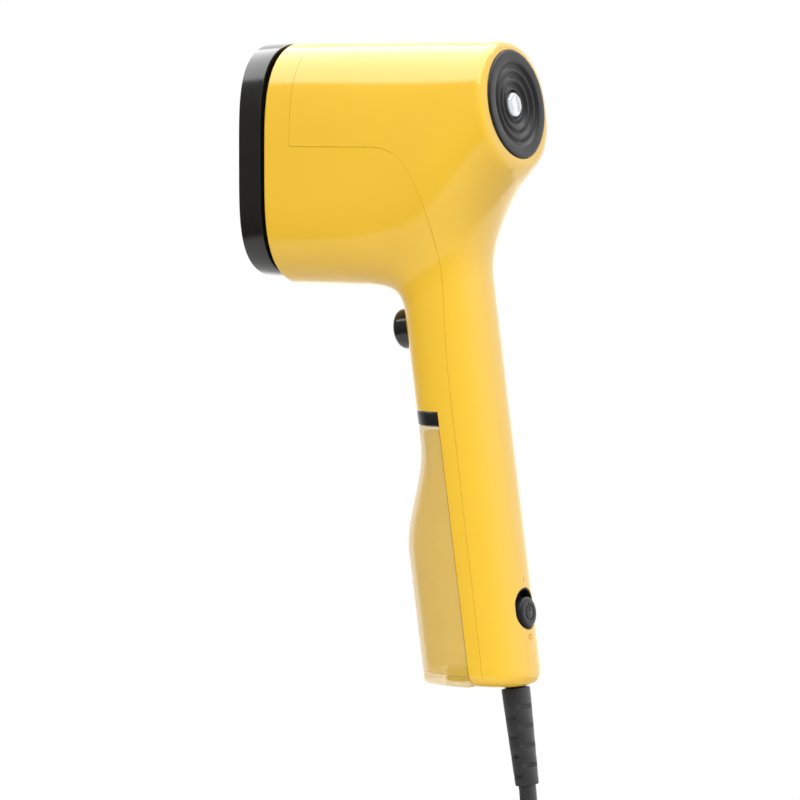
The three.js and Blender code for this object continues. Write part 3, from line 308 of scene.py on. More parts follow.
def wire_insulation():
    # Braided glass sleeve over the heater wires: brick red with a 0.8 mm braid.
    material, tree, shader, place = new_material("braided_sleeve", {"IOR": 1.5, "Roughness": 0.7})
    braid = mottled(tree, shader, place, "#8A2F1E", "#A84B32", 0.8, 2.0, 0.5)
    relief(tree, shader, braid, 0.1, 0.8)
    return material


FINISH = {
    "yellow_casing": gloss_abs_yellow(), "black_gloss": gloss_abs_black(), "black_satin": satin_abs_black(),
    "clear_lens": clear_polycarbonate(), "tinted_tank": tinted_san(), "cast_aluminium": cast_aluminium(),
    "plate_coating": coated_plate(), "steel": drawn_steel(), "natural_nylon": natural_nylon(),
    "brass_fitting": plated_brass(), "silicone": milky_silicone(), "black_rubber": black_pvc(),
    "circuit_board": green_laminate(), "switch_black": switch_thermoplastic(), "wire_sleeve": wire_insulation(),
}
SLOT_OF = {part["node"]: part["material_slot"] for part in frame["record"]["subparts"]}
for node_name, node in frame["nodes"].items():
    node.material_slots[0].material = FINISH[SLOT_OF[node_name]]


# ------------------------------------------------------------------ modelling helpers
def deselect_all():
    if bpy.context.object and bpy.context.object.mode != "OBJECT":
        bpy.ops.object.mode_set(mode="OBJECT")
    bpy.ops.object.select_all(action="DESELECT")


def pick(piece):
    deselect_all()
    bpy.context.view_layer.objects.active = piece
    piece.select_set(True)


def named(name):
    piece = bpy.context.object
    piece.name = name
    piece.data.name = name
    return piece


def settle(piece):
    """Leaves the object at the origin, unturned and unscaled, with its place in its mesh."""
    pick(piece)
    bpy.ops.object.transform_apply(location=True, rotation=True, scale=True)
    return piece


def from_rings(name, rings, closed_ends=True):
    """Skins rings of points, given in layout millimetres, each with the same count."""
    count = len(rings[0])
    points = np.concatenate(rings) * MM + np.array(ORIGIN)
    faces = []
    for row in range(len(rings) - 1):
        for column in range(count):
            beside = (column + 1) % count
            faces.append((row * count + column, row * count + beside, (row + 1) * count + beside,
                          (row + 1) * count + column))
    points = points.tolist()
    if closed_ends:
        for row, forward in ((0, False), (len(rings) - 1, True)):
            middle = len(points)
            ring = points[row * count:(row + 1) * count]
            points.append([sum(axis) / count for axis in zip(*ring)])
            for column in range(count):
                pair = (row * count + column, row * count + (column + 1) % count)
                faces.append((pair + (middle,)) if forward else (pair[::-1] + (middle,)))
    mesh = bpy.data.meshes.new(name)
    mesh.from_pydata(points, [], faces)
    mesh.update()
    piece = bpy.data.objects.new(name, mesh)
    bpy.context.scene.collection.objects.link(piece)
    pick(piece)
    bpy.ops.object.mode_set(mode="EDIT")
    bpy.ops.mesh.select_all(action="SELECT")
    bpy.ops.mesh.normals_make_consistent(inside=False)
    bpy.ops.object.mode_set(mode="OBJECT")
    return piece


def turned(name, start, axis, profile, steps=96):
    """Spins a profile of (radius, distance) pairs round an axis that starts at a layout point."""
    centre = spot(*start)
    side = Vector((0, 1, 0))
    deselect_all()
    bpy.ops.mesh.primitive_plane_add(size=MM, location=centre)
    piece = named(name)
    settle(piece)
    bpy.ops.object.mode_set(mode="EDIT")
    bpy.ops.mesh.select_all(action="SELECT")
    bpy.ops.mesh.merge(type="CENTER")
    bpy.ops.object.mode_set(mode="OBJECT")
    places = [centre + axis * (distance * MM) + side * (radius * MM) for radius, distance in profile]
    piece.data.vertices[0].co = places[0]
    bpy.ops.object.mode_set(mode="EDIT")
    bpy.ops.mesh.select_all(action="SELECT")
    for before, after in zip(places, places[1:]):
        bpy.ops.mesh.extrude_region_move(TRANSFORM_OT_translate={"value": after - before})
    bpy.ops.mesh.select_all(action="SELECT")
    bpy.ops.mesh.spin(steps=steps, angle=2 * math.pi, center=centre, axis=axis)
    bpy.ops.mesh.select_all(action="SELECT")
    bpy.ops.mesh.remove_doubles(threshold=2e-6)
    bpy.ops.mesh.normals_make_consistent(inside=False)
    bpy.ops.object.mode_set(mode="OBJECT")
    return piece


def rod_tool(start, axis, radius, length, sides=96):
    """A plain round cutter."""
    deselect_all()
    middle = spot(*(Vector(start) + axis * (length / 2)))
    turn = Vector((0, 0, 1)).rotation_difference(axis).to_euler()
    bpy.ops.mesh.primitive_cylinder_add(vertices=sides, radius=radius * MM, depth=length * MM, location=middle,
                                        rotation=turn)
    return settle(named("cutter"))


def block_tool(centre, size, along=None, name="cutter"):
    """A plain block, with its height along a direction, and its depth square to it."""
    deselect_all()
    bpy.ops.mesh.primitive_cube_add(size=1, location=(0, 0, 0))
    piece = named(name)
    up = (along or Vector((0, 0, 1))).normalized()
    across = Vector((0, 1, 0))
    depth = across.cross(up)
    basis = Matrix((depth, across, up)).transposed().to_4x4()
    scale = Matrix.Diagonal((size[0] * MM, size[1] * MM, size[2] * MM, 1))
    piece.data.transform(Matrix.Translation(spot(*centre)) @ basis @ scale)
    return piece


def side_slab(outline, half_width=60.0):
    """An outline seen from the side, (x, z) pairs, extruded right across."""
    near = [(x, -half_width, z) for x, z in outline]
    count = len(near)
    mesh = bpy.data.meshes.new("cutter")
    corners = [spot(*point) for point in near]
    mesh.from_pydata(corners, [], [tuple(range(count))])
    piece = bpy.data.objects.new("cutter", mesh)
    bpy.context.scene.collection.objects.link(piece)
    pick(piece)
    bpy.ops.object.mode_set(mode="EDIT")
    bpy.ops.mesh.select_all(action="SELECT")
    bpy.ops.mesh.extrude_region_move(TRANSFORM_OT_translate={"value": (0, 2 * half_width * MM, 0)})
    bpy.ops.mesh.select_all(action="SELECT")
    bpy.ops.mesh.quads_convert_to_tris()
    bpy.ops.mesh.normals_make_consistent(inside=False)
    bpy.ops.object.mode_set(mode="OBJECT")
    return piece


def combine(piece, tool, operation, keep_tool=False):
    """Joins, cuts or keeps with another solid, and applies it."""
    pick(piece)
    modifier = piece.modifiers.new("combine", "BOOLEAN")
    modifier.operation = operation
    modifier.object = tool
    modifier.solver = "MANIFOLD"
    bpy.ops.object.modifier_apply(modifier=modifier.name)
    if not keep_tool:
        bpy.data.objects.remove(tool)
    return piece


def cut(piece, *tools):
    for tool in tools:
        combine(piece, tool, "DIFFERENCE")
    return piece


def soften(piece, width, segments=3, angle=35):
    """Rounds the sharp edges of a piece."""
    pick(piece)
    modifier = piece.modifiers.new("edges", "BEVEL")
    modifier.width = width * MM
    modifier.segments = segments
    modifier.limit_method = "ANGLE"
    modifier.angle_limit = math.radians(angle)
    modifier.harden_normals = False
    bpy.ops.object.modifier_apply(modifier=modifier.name)
    return piece


def smooth(piece, angle=35):
    pick(piece)
    bpy.ops.object.shade_smooth_by_angle(angle=math.radians(angle))
    return piece


def finish_piece(piece, slot, body, *replaced, angle=35):
    """Gives a piece its finish, its body, and the frame nodes that it stands for."""
    smooth(piece, angle)
    piece.data.materials.clear()
    piece.data.materials.append(FINISH[slot])
    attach(piece, body)
    if replaced:
        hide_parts(*replaced)
    return piece


# ------------------------------------------------------------------ the mains lead
CORD_RADIUS = 3.5
RELIEF_TOP = Vector((111.6, 0, HANDLE_BOTTOM))
HANK_X, HANK_TOP, HANK_RUN = 90.6, -290.0, 105.0
OUTER_BEND, INNER_BEND = 28.0, 21.7
# Each turn: sideways place and bend. The lead fills the middle, then the near side, the two
# inner turns, the far side, and last lies on the far face of the hank.
TURNS = [(0.0, OUTER_BEND), (-7.2, OUTER_BEND), (-3.6, INNER_BEND), (3.6, INNER_BEND), (7.2, OUTER_BEND),
         (14.8, INNER_BEND)]
# How early in the top bend each turn moves sideways and inwards to the next one's place.
SHIFT_SIDEWAYS = [(0.2, 0.6), (0.25, 0.7), (0.05, 0.4), (0.0, 0.2), (0.0, 0.3)]
SHIFT_INWARD = [(0.2, 0.6), (0.0, 0.35), (0.05, 0.4), (0.0, 0.3), (0.5, 1.0)]


def eased(value):
    """Runs from 0 to 1 with a soft start and end."""
    share = min(max(value, 0.0), 1.0)
    return share * share * (3 - 2 * share)


def hank_route():
    route = []
    low = HANK_TOP - HANK_RUN
    for turn in range(len(TURNS) - 1):
        y, bend = TURNS[turn]
        next_y, next_bend = TURNS[turn + 1]
        for step in range(12):
            route.append((HANK_X + bend, y, HANK_TOP - HANK_RUN * step / 12))
        for step in range(24):
            angle = math.pi * step / 24
            route.append((HANK_X + bend * math.cos(angle), y, low - bend * math.sin(angle)))
        for step in range(12):
            route.append((HANK_X - bend, y, low + HANK_RUN * step / 12))
        for step in range(24):
            share = step / 24
            angle = math.pi * (1 - share)
            first, last = SHIFT_SIDEWAYS[turn]
            side = y + (next_y - y) * eased((share - first) / (last - first))
            first, last = SHIFT_INWARD[turn]
            radius = bend + (next_bend - bend) * eased((share - first) / (last - first))
            if turn == 0:
                radius += 0.9 * math.sin(math.pi * min(share / 0.65, 1.0))
            route.append((HANK_X + radius * math.cos(angle), side, HANK_TOP + radius * math.sin(angle)))
    return route


def lead_route():
    """From inside the strain relief, down into the hank, round it, and along its face to the plug."""
    along = [tuple(RELIEF_TOP + DOWN_HANDLE * distance) for distance in (6, 14, 24, 34, 42)]
    along += [(118.35, 0, -257.0), (118.6, 0, -266.0), (118.6, 0, -275.4)]
    tail = [(111.9, 14.8, -295.0), (110.2, 14.8, -304.0), (106.6, 14.8, -317.0), (103.6, 14.8, -328.0),
            (102.6, 14.8, -337.0), (102.6, 14.8, -344.5), (102.6, 16.4, -350.0), (102.6, 17.6, -354.5),
            (102.6, 17.8, -360.0), (102.6, 17.8, -366.0)]
    return along + hank_route() + tail


def smooth_route(points, passes=2):
    """Takes the small kinks out of a route without moving its ends."""
    line = np.array(points, float)
    for _ in range(passes):
        line[1:-1] = 0.25 * line[:-2] + 0.5 * line[1:-1] + 0.25 * line[2:]
    return line


def mains_lead():
    route = smooth_route(lead_route(), 1)
    curve = bpy.data.curves.new("mains_lead", "CURVE")
    curve.dimensions = "3D"
    curve.bevel_depth = CORD_RADIUS * MM
    curve.bevel_resolution = 6
    curve.use_fill_caps = True
    line = curve.splines.new("POLY")
    line.points.add(len(route) - 1)
    for point, place in zip(line.points, route):
        point.co = (*spot(*place), 1.0)
    line.use_smooth = True
    piece = bpy.data.objects.new("mains_lead", curve)
    bpy.context.scene.collection.objects.link(piece)
    piece.data.materials.append(FINISH["black_rubber"])
    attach(piece, "housing")
    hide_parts("power_cord", "cord_hank", "cord_tail")
    steps = np.diff(route, axis=0)
    return piece, float(np.sqrt((steps ** 2).sum(axis=1)).sum())


def hank_tie():
    """Rubbery strap round the hank and the plug end of the lead, with rounded corners."""
    low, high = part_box("cord_tie")
    centre = (low + high) / 2
    size = high - low
    deselect_all()
    bpy.ops.mesh.primitive_cube_add(size=1, location=(0, 0, 0))
    strap = named("hank_tie")
    strap.data.transform(Matrix.Translation(centre) @ Matrix.Diagonal((*size, 1)))
    bpy.ops.object.mode_set(mode="EDIT")
    bpy.ops.mesh.select_all(action="DESELECT")
    bpy.ops.object.mode_set(mode="OBJECT")
    for edge in strap.data.edges:
        ends = [strap.data.vertices[i].co for i in edge.vertices]
        edge.select = abs(ends[0].z - ends[1].z) > 0.5 * size.z
    bpy.ops.object.mode_set(mode="EDIT")
    bpy.ops.mesh.bevel(offset=6 * MM, segments=8)
    bpy.ops.object.mode_set(mode="OBJECT")
    inner = strap.copy()
    inner.data = strap.data.copy()
    bpy.context.scene.collection.objects.link(inner)
    inner_size = size - Vector((2.8, 2.8, 0)) * MM
    shrink = Matrix.Diagonal((inner_size.x / size.x, inner_size.y / size.y, 3.0, 1))
    inner.data.transform(Matrix.Translation(centre) @ shrink @ Matrix.Translation(-centre))
    cut(strap, inner)
    soften(strap, 0.5, 3)
    return finish_piece(strap, "black_satin", "housing", "cord_tie")


def strain_relief():
    """Ladder-cut sleeve: pairs of slots at every level, each level turned a quarter from the last."""
    end = 40.0
    profile = [(3.6, -5.0), (5.1, -5.0), (5.1, -3.9), (4.2, -3.6), (4.2, 0.9), (5.7, 1.2), (5.75, 2.0),
               (5.65, 7.0)]
    profile += [(4.75, end - 0.6), (4.5, end), (3.65, end), (3.6, -5.0)]
    sleeve = turned("strain_relief_sleeve", RELIEF_TOP, DOWN_HANDLE, profile, 64)
    turn_to_side = Matrix.Rotation(math.radians(25), 3, DOWN_HANDLE)
    first = turn_to_side @ Vector((0, -1, 0))
    second = DOWN_HANDLE.cross(first)
    level = 8.6
    rung = 0
    while level < end - 3.5:
        radius = 5.65 - 0.9 * (level - 7) / (end - 7)
        direction = second if rung % 2 == 0 else first
        for side in (-1, 1):
            away = direction * side
            middle = RELIEF_TOP + DOWN_HANDLE * level + away * (radius - 1.5 + 3.0)
            deselect_all()
            bpy.ops.mesh.primitive_cube_add(size=1, location=(0, 0, 0))
            slot = named("cutter")
            basis = Matrix((away, DOWN_HANDLE.cross(away), DOWN_HANDLE)).transposed().to_4x4()
            scale = Matrix.Diagonal((6.0 * MM, 14.0 * MM, 1.75 * MM, 1))
            slot.data.transform(Matrix.Translation(spot(*middle)) @ basis @ scale)
            cut(sleeve, slot)
        level += 3.9
        rung += 1
    soften(sleeve, 0.22, 2, 40)
    return finish_piece(sleeve, "black_rubber", "housing", "strain_relief")


def mains_plug():
    """Moulded two-pin plug body with a waisted grip, and its pins."""
    grip_top = -359.25
    rings = []
    for z, half_x, half_y, square in ((grip_top, 4.6, 4.6, 2), (-364, 4.9, 4.9, 2), (-369, 5.4, 5.2, 2.1),
                                      (-374, 8.6, 6.4, 2.4), (-379, 12.6, 8.0, 2.8), (-383, 13.5, 8.7, 3.0),
                                      (-388, 12.4, 8.3, 3.0), (-393, 12.9, 8.6, 3.0), (-396.5, 13.6, 8.8, 3.2),
                                      (-398.2, 13.4, 8.6, 3.2), (-399.2, 12.6, 7.8, 3.2)):
        middle_y = 17.8 + 2.2 * eased((grip_top - z) / 20)
        angles = np.linspace(0, 2 * math.pi, 64, endpoint=False)
        across = np.sign(np.cos(angles)) * np.abs(np.cos(angles)) ** (2 / square) * half_x
        deep = np.sign(np.sin(angles)) * np.abs(np.sin(angles)) ** (2 / square) * half_y
        rings.append(np.stack([102.6 + across, middle_y + deep, np.full(64, z)], axis=1))
    plug = from_rings("mains_plug", rings)
    pick(plug)
    modifier = plug.modifiers.new("round", "SUBSURF")
    modifier.levels = modifier.render_levels = 1
    bpy.ops.object.modifier_apply(modifier=modifier.name)
    finish_piece(plug, "black_rubber", "housing", "plug_body")
    pins = []
    for number, side in ((1, -1), (2, 1)):
        pin_low, pin_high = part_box(f"plug_pin_{number}")
        middle = (pin_low + pin_high) / 2
        start = ((middle.x - ORIGIN.x) / MM, middle.y / MM, (pin_high.z - ORIGIN.z) / MM + 0.4)
        profile = [(0, 0), (2.35, 0), (2.35, 17.4), (2.2, 18.4), (1.7, 19.1), (0.9, 19.4), (0, 19.4)]
        pin = turned(f"plug_pin_bar_{number}", start, Vector((0, 0, -1)), profile, 32)
        pins.append(finish_piece(pin, "brass_fitting", "housing", f"plug_pin_{number}"))
    return [plug] + pins


lead, lead_length = mains_lead()
sleeve = strain_relief()
hank_tie()
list(mains_plug())


# ------------------------------------------------------------------ casing
HEAD_FRONT = 12.9
FRONT_ROUNDING = 1.2
WALL = 2.5
HEAD_TOP, HEAD_LOW = 49.0, -49.0
FRONT_HALF_WIDTH, TAIL_HALF_WIDTH = 31.3, 24.9
TAPER_START, LOW_START, TAPER_END = 25, 50, 144   # the head narrows, and its underside rises, towards a circle
TAIL_LOW = 11.8
HANDLE_HALF_DEPTH, HANDLE_HALF_WIDTH = 18.2, 18.0
CROOK_BLEND, NECK_BLEND = 15, 29   # the head flows into the handle tightly in front and widely behind


def soft_least(a, b, blend):
    overlap = np.maximum(blend - np.abs(a - b), 0) / blend
    return np.minimum(a, b) - overlap * overlap * blend * 0.25


def soft_most(a, b, blend):
    return -soft_least(-a, -b, blend)


def super_radius(a, b, squareness):
    return (np.abs(a) ** squareness + np.abs(b) ** squareness) ** (1 / squareness)


def ease(value):
    """eased() for whole arrays."""
    share = np.clip(value, 0, 1)
    return share * share * (3 - 2 * share)


def casing_level(x, y, z):
    """Zero on the casing's outer surface, about minus the depth inside it: a tapering head that
    flows into the leaning handle."""
    taper = ease((x - TAPER_START) / (TAPER_END - TAPER_START))
    half_width = FRONT_HALF_WIDTH + (TAIL_HALF_WIDTH - FRONT_HALF_WIDTH) * taper
    across, upright = 2.3 + (2 - 2.3) * taper, 3.6 + (2 - 3.6) * taper
    low = HEAD_LOW + (TAIL_LOW - HEAD_LOW) * ease((x - LOW_START) / (TAPER_END - LOW_START))
    middle, half_height = (HEAD_TOP + low) / 2, (HEAD_TOP - low) / 2
    share = np.abs(y / half_width) ** across + np.abs((z - middle) / half_height) ** upright
    tube = (share ** (1 / across) - 1) * half_width
    behind_cap = (x - CAP_CENTRE.x) * math.cos(CAP_TILT) + (z - CAP_CENTRE.z) * math.sin(CAP_TILT)
    head = soft_most(tube, behind_cap, 3.4)
    rearward = (x - HANDLE_X) * math.cos(LEAN) + (z - HANDLE_Z) * math.sin(LEAN)
    down = (x - HANDLE_X) * math.sin(LEAN) - (z - HANDLE_Z) * math.cos(LEAN)
    column = (super_radius(rearward / HANDLE_HALF_DEPTH, y / HANDLE_HALF_WIDTH, 2.2) - 1) * HANDLE_HALF_WIDTH
    stopped = soft_most(column, -(down - HANDLE_Z), 20)
    handle = soft_most(stopped, HANDLE_BOTTOM - z, 6.5)
    return soft_least(head, handle, CROOK_BLEND + (NECK_BLEND - CROOK_BLEND) * ease((x - 60) / 40))


CROOK_X, CROOK_Z = 52.0, -64.0   # the sections fan round this point in the crook of the neck


def casing_rings(levels_and_stations, count):
    """Rings of surface points: each station has a middle, an in-plane direction and a level."""
    stations = np.array(levels_and_stations)
    middle_x, middle_z, dir_x, dir_z, level = (stations[:, i:i + 1] for i in range(5))
    angles = np.linspace(0, 2 * math.pi, count, endpoint=False)[None, :]

    def reach(distance):
        along, across = distance * np.cos(angles), distance * np.sin(angles)
        return middle_x + along * dir_x, across, middle_z + along * dir_z

    near = np.zeros((len(stations), count))
    done = np.zeros_like(near, bool)
    for _ in range(60):
        outside = casing_level(*reach(near + 2.0)) > level
        done |= outside
        near = np.where(done, near, near + 2.0)
    far = near + 2.0
    for _ in range(22):
        middle = (near + far) / 2
        outside = casing_level(*reach(middle)) > level
        far = np.where(outside, middle, far)
        near = np.where(outside, near, middle)
    return list(np.stack(reach(near), axis=2))


def fan_station(angle):
    upright, to_handle = -CROOK_Z, axis_x(CROOK_Z) - CROOK_X
    reach = to_handle + (upright - to_handle) * float(ease(angle / (math.pi / 2)))
    return (CROOK_X + math.cos(angle) * reach, CROOK_Z + math.sin(angle) * reach, math.cos(angle), math.sin(angle))


def stations(fronts, head_steps, fan_steps, handle_steps, bottoms, level):
    """Stations from the front of the head, round the neck, to the foot of the handle."""
    places = [(x, 0.0, 0.0, 1.0, edge_level) for x, edge_level in fronts]
    start = fronts[-1][0]
    for step in range(1, head_steps):
        places.append((start + (CROOK_X - start) * step / head_steps, 0.0, 0.0, 1.0, level))
    for step in range(fan_steps + 1):
        places.append((*fan_station((1 - step / fan_steps) * math.pi / 2), level))
    for step in range(1, handle_steps + 1):
        z = CROOK_Z + (bottoms[0] - CROOK_Z) * step / handle_steps
        places.append((axis_x(z), z, 1.0, 0.0, level))
    places += [(axis_x(z), z, 1.0, 0.0, level) for z in bottoms[1:]]
    return places


def casing_blank():
    turns = [math.radians(a) for a in (0, 18, 36, 54, 72, 90)]
    fronts = [(HEAD_FRONT + FRONT_ROUNDING * (1 - math.cos(a)), -FRONT_ROUNDING * (1 - math.sin(a)))
              for a in turns]
    foot = [HANDLE_BOTTOM + 9 * (1 - math.sin(math.radians(a))) for a in range(0, 88, 6)] + [HANDLE_BOTTOM + 0.004]
    return from_rings("casing", casing_rings(stations(fronts, 26, 110, 48, foot, 0.0), 176))


def casing_hollow():
    floor = HANDLE_BOTTOM + WALL
    fronts = [(HEAD_FRONT - 6, -WALL)]
    foot = [floor + rise for rise in (7, 5, 3, 1.6, 0.8, 0.3, 0.05)]
    return from_rings("cutter", casing_rings(stations(fronts, 10, 44, 20, foot, -WALL), 96))


def bezier(start, first, second, end, steps=28):
    points = []
    for step in range(1, steps + 1):
        t = step / steps
        weights = ((1 - t) ** 3, 3 * t * (1 - t) ** 2, 3 * t * t * (1 - t), t ** 3)
        points.append(tuple(sum(w * p[i] for w, p in zip(weights, (start, first, second, end))) for i in (0, 1)))
    return points


def seam_region(offset):
    """Everything in front of and below the seam between the two casing halves, seen from the side."""
    rear, foot = axis_x(-85) + 5.0 - offset, axis_x(-260) + 4.0 - offset
    corner = [(25 - offset, 80), (25 - offset, 8 - offset), (25.3 - offset, 7.3 - offset),
              (26 - offset, 7 - offset)]
    upper = bezier((62, 7 - offset), (78, 7 - offset), (84 - offset, -8), (86 - offset, -22))
    lower = bezier((86 - offset, -22), (87.6 - offset, -34), (87.6 - offset, -56), (rear, -85))
    outline = corner + [(62, 7 - offset)] + upper + lower + [(foot, -260), (-60, -260), (-60, 80)]
    return side_slab(outline)


BAY_TOP, BAY_REAR = -97.8, -1.5
PARTITION, BAY_CEILING = 2.2, 4.0


def ahead_of_handle(rearward, top):
    shift = rearward / math.cos(LEAN)
    return side_slab([(axis_x(top) + shift, top), (axis_x(-260) + shift, -260), (20, -260), (20, top)])


def true_normals(piece):
    """Gives the outer skin the exact direction of the casing's surface, so highlights run true."""
    mesh = piece.data
    points = np.zeros(len(mesh.vertices) * 3)
    mesh.vertices.foreach_get("co", points)
    points = (points.reshape(-1, 3) - np.array(ORIGIN)) / MM
    x, y, z = points.T
    step = 0.05
    gradient = np.stack([casing_level(x + step, y, z) - casing_level(x - step, y, z),
                         casing_level(x, y + step, z) - casing_level(x, y - step, z),
                         casing_level(x, y, z + step) - casing_level(x, y, z - step)], axis=1)
    gradient /= np.maximum(np.linalg.norm(gradient, axis=1, keepdims=True), 1e-9)
    on_skin = (np.abs(casing_level(x, y, z)) < 0.06) & (x > HEAD_FRONT + FRONT_ROUNDING - 0.05)
    corners = np.zeros(len(mesh.loops) * 3)
    mesh.corner_normals.foreach_get("vector", corners)
    corners = corners.reshape(-1, 3)
    vertex = np.zeros(len(mesh.loops), int)
    mesh.loops.foreach_get("vertex_index", vertex)
    faces = np.zeros(len(mesh.polygons) * 3)
    mesh.polygons.foreach_get("normal", faces)
    sizes = np.zeros(len(mesh.polygons), int)
    mesh.polygons.foreach_get("loop_total", sizes)
    face_normals = np.repeat(faces.reshape(-1, 3), sizes, axis=0)
    facing = (face_normals * gradient[vertex]).sum(axis=1) > 0.9
    exact = on_skin[vertex] & facing
    corners[exact] = gradient[vertex][exact]
    mesh.normals_split_custom_set(corners.tolist())


def skin_piece(piece, slot, body, *replaced):
    finish_piece(piece, slot, body, *replaced, angle=30)
    true_normals(piece)
    return piece


TRIGGER_Z, TRIGGER_FACE, TRIGGER_RADIUS = -63.1, -25.0, 8.25
SWITCH_Z, WELL_RADIUS, WELL_STRAIGHT = -178.6, 7.1, 1.2
SOCKET_X = axis_x(BAY_TOP) - 7


def socket_line(z):
    return Vector((SOCKET_X + (BAY_TOP - z) * math.tan(LEAN), 0, z))


def upright_oval(name, radius, start, end, z=SWITCH_Z, straight=WELL_STRAIGHT, sides=64):
    """An oval bar that stands out rearward from the handle's axis: a disc, pulled apart and extruded."""
    deselect_all()
    bpy.ops.mesh.primitive_circle_add(vertices=sides, radius=radius, fill_type="NGON")
    piece = named(name)
    for vertex in piece.data.vertices:
        vertex.co.y += straight if vertex.co.y > 0 else -straight
    bpy.ops.object.mode_set(mode="EDIT")
    bpy.ops.mesh.select_all(action="SELECT")
    bpy.ops.mesh.extrude_region_move(TRANSFORM_OT_translate={"value": (0, 0, end - start)})
    bpy.ops.mesh.select_all(action="SELECT")
    bpy.ops.mesh.normals_make_consistent(inside=False)
    bpy.ops.object.mode_set(mode="OBJECT")
    basis = Matrix((Vector((0, 1, 0)), -DOWN_HANDLE, REARWARD)).transposed().to_4x4()
    place = Matrix.Translation(spot(*on_handle(z, start)))
    piece.data.transform(place @ basis @ Matrix.Diagonal((MM, MM, MM, 1)))
    return piece


MARK_FLOOR = 17.8   # the on and off marks are sunk 0.4 mm into the casing, above and below the switch
SCREW_HEIGHTS = (-118.0, -158.0)


def flat_ring(name, radius, width, start, end, z, sides=64):
    ring = upright_oval(name, radius, start, end, z, 0.0, sides)
    cut(ring, upright_oval("cutter", radius - width, start - 1, end + 1, z, 0.0, sides))
    return ring


def upright_bar(name, height, width, start, end, z):
    middle = on_handle(z, (start + end) / 2)
    return block_tool(middle, (end - start, width, height), -DOWN_HANDLE, name)


def casing():
    """The two halves of the casing, split along the seam, with their openings."""
    blank = casing_blank()
    hollow = casing_hollow()
    combine(hollow, ahead_of_handle(BAY_REAR + PARTITION, BAY_TOP + BAY_CEILING), "DIFFERENCE")
    front = blank.copy()
    front.data = blank.data.copy()
    bpy.context.scene.collection.objects.link(front)
    front.name = "casing_front"
    rear = blank
    rear.name = "casing_rear"
    combine(front, seam_region(0.0), "INTERSECT")
    combine(front, hollow, "DIFFERENCE", keep_tool=True)
    flange = TRIGGER_FACE + 12.0
    cut(front, ahead_of_handle(BAY_REAR, BAY_TOP),
        rod_tool(on_handle(TRIGGER_Z, TRIGGER_FACE - 6), REARWARD, TRIGGER_RADIUS + 0.3,
                 flange - TRIGGER_FACE + 7),
        rod_tool(on_handle(TRIGGER_Z, flange), REARWARD, TRIGGER_RADIUS + 1.0, 8),
        rod_tool(socket_line(BAY_TOP - 4), -DOWN_HANDLE, 4.6, 14))
    for z in SCREW_HEIGHTS:
        cut(front, rod_tool(on_handle(z, BAY_REAR - 1), REARWARD, 1.7, 8, 32),
            rod_tool(on_handle(z, BAY_REAR - 1), REARWARD, 3.0, 2.5, 32))
    combine(rear, seam_region(-0.13), "DIFFERENCE")
    combine(rear, hollow, "DIFFERENCE")
    cut(rear, rod_tool(CAP_CENTRE - CAP_AXIS * 3, CAP_AXIS, 21.9, 10, 160),
        rod_tool(CAP_CENTRE - CAP_AXIS * 14, CAP_AXIS, 17.7, 20),
        upright_oval("cutter", WELL_RADIUS + 0.15, 8, 28),
        upright_bar("cutter", 1.8, 0.45, MARK_FLOOR, 20, SWITCH_Z + 11.4),
        flat_ring("cutter", 1.3, 0.45, MARK_FLOOR, 20, SWITCH_Z - 11.2),
        rod_tool(RELIEF_TOP - DOWN_HANDLE * 8, DOWN_HANDLE, 4.6, 16))
    skin_piece(front, "yellow_casing", "housing", "front_shell")
    skin_piece(rear, "yellow_casing", "housing", "rear_shell")


casing()


# ------------------------------------------------------------------ steam head front
def superellipse(half_width, half_height, count):
    angles = np.linspace(0, 2 * math.pi, count, endpoint=False)
    across = np.sign(np.cos(angles)) * np.abs(np.cos(angles)) ** (2 / 2.5) * half_width
    up = np.sign(np.sin(angles)) * np.abs(np.sin(angles)) ** (2 / 4) * half_height
    return across, up


def face_slab(name, half_width, half_height, x_start, x_end, middle=BEZEL_MIDDLE, count=200):
    """A disc shaped to the head's outline, and extruded along X."""
    deselect_all()
    bpy.ops.mesh.primitive_circle_add(vertices=count, radius=1, fill_type="NGON")
    piece = named(name)
    across, up = superellipse(half_width, half_height, count)
    for vertex, y, z in zip(piece.data.vertices, across, up):
        vertex.co = spot(x_start, y, z + middle)
    bpy.ops.object.mode_set(mode="EDIT")
    bpy.ops.mesh.select_all(action="SELECT")
    bpy.ops.mesh.extrude_region_move(TRANSFORM_OT_translate={"value": ((x_end - x_start) * MM, 0, 0)})
    bpy.ops.mesh.select_all(action="SELECT")
    bpy.ops.mesh.normals_make_consistent(inside=False)
    bpy.ops.object.mode_set(mode="OBJECT")
    return piece


def steam_head():
    bezel = face_slab("bezel_ring", 30.6, 47.2, BEZEL_FRONT, 11)
    cut(bezel, face_slab("cutter", 26.9, 43.5, -2, 14))
    soften(bezel, 1.1, 5, 50)
    finish_piece(bezel, "black_gloss", "housing", "steam_bezel")
    carrier = face_slab("carrier_sleeve", 27.2, 42.4, 11.3, 22, middle=0.0)
    cut(carrier, face_slab("cutter", 24.8, 40.0, 8, 24, middle=0.0))
    soften(carrier, 0.4, 3, 50)
    finish_piece(carrier, "black_satin", "housing", "carrier_ring")
    plate = face_slab("steam_face_plate", 26.6, 43.2, 0.2, 3.2)
    pairs = [(side * y, z) for y, z in ((11, 24), (16, 10), (16, -9), (11, -23)) for side in (-1, 1)]
    for y, z in [(0, 31), *pairs, (0, -30)]:
        cut(plate, rod_tool((-3, y, z + BEZEL_MIDDLE), X_AXIS, 1.8, 8, 40))
    soften(plate, 0.5, 4, 50)
    finish_piece(plate, "plate_coating", "housing", "steam_plate", angle=20)


steam_head()


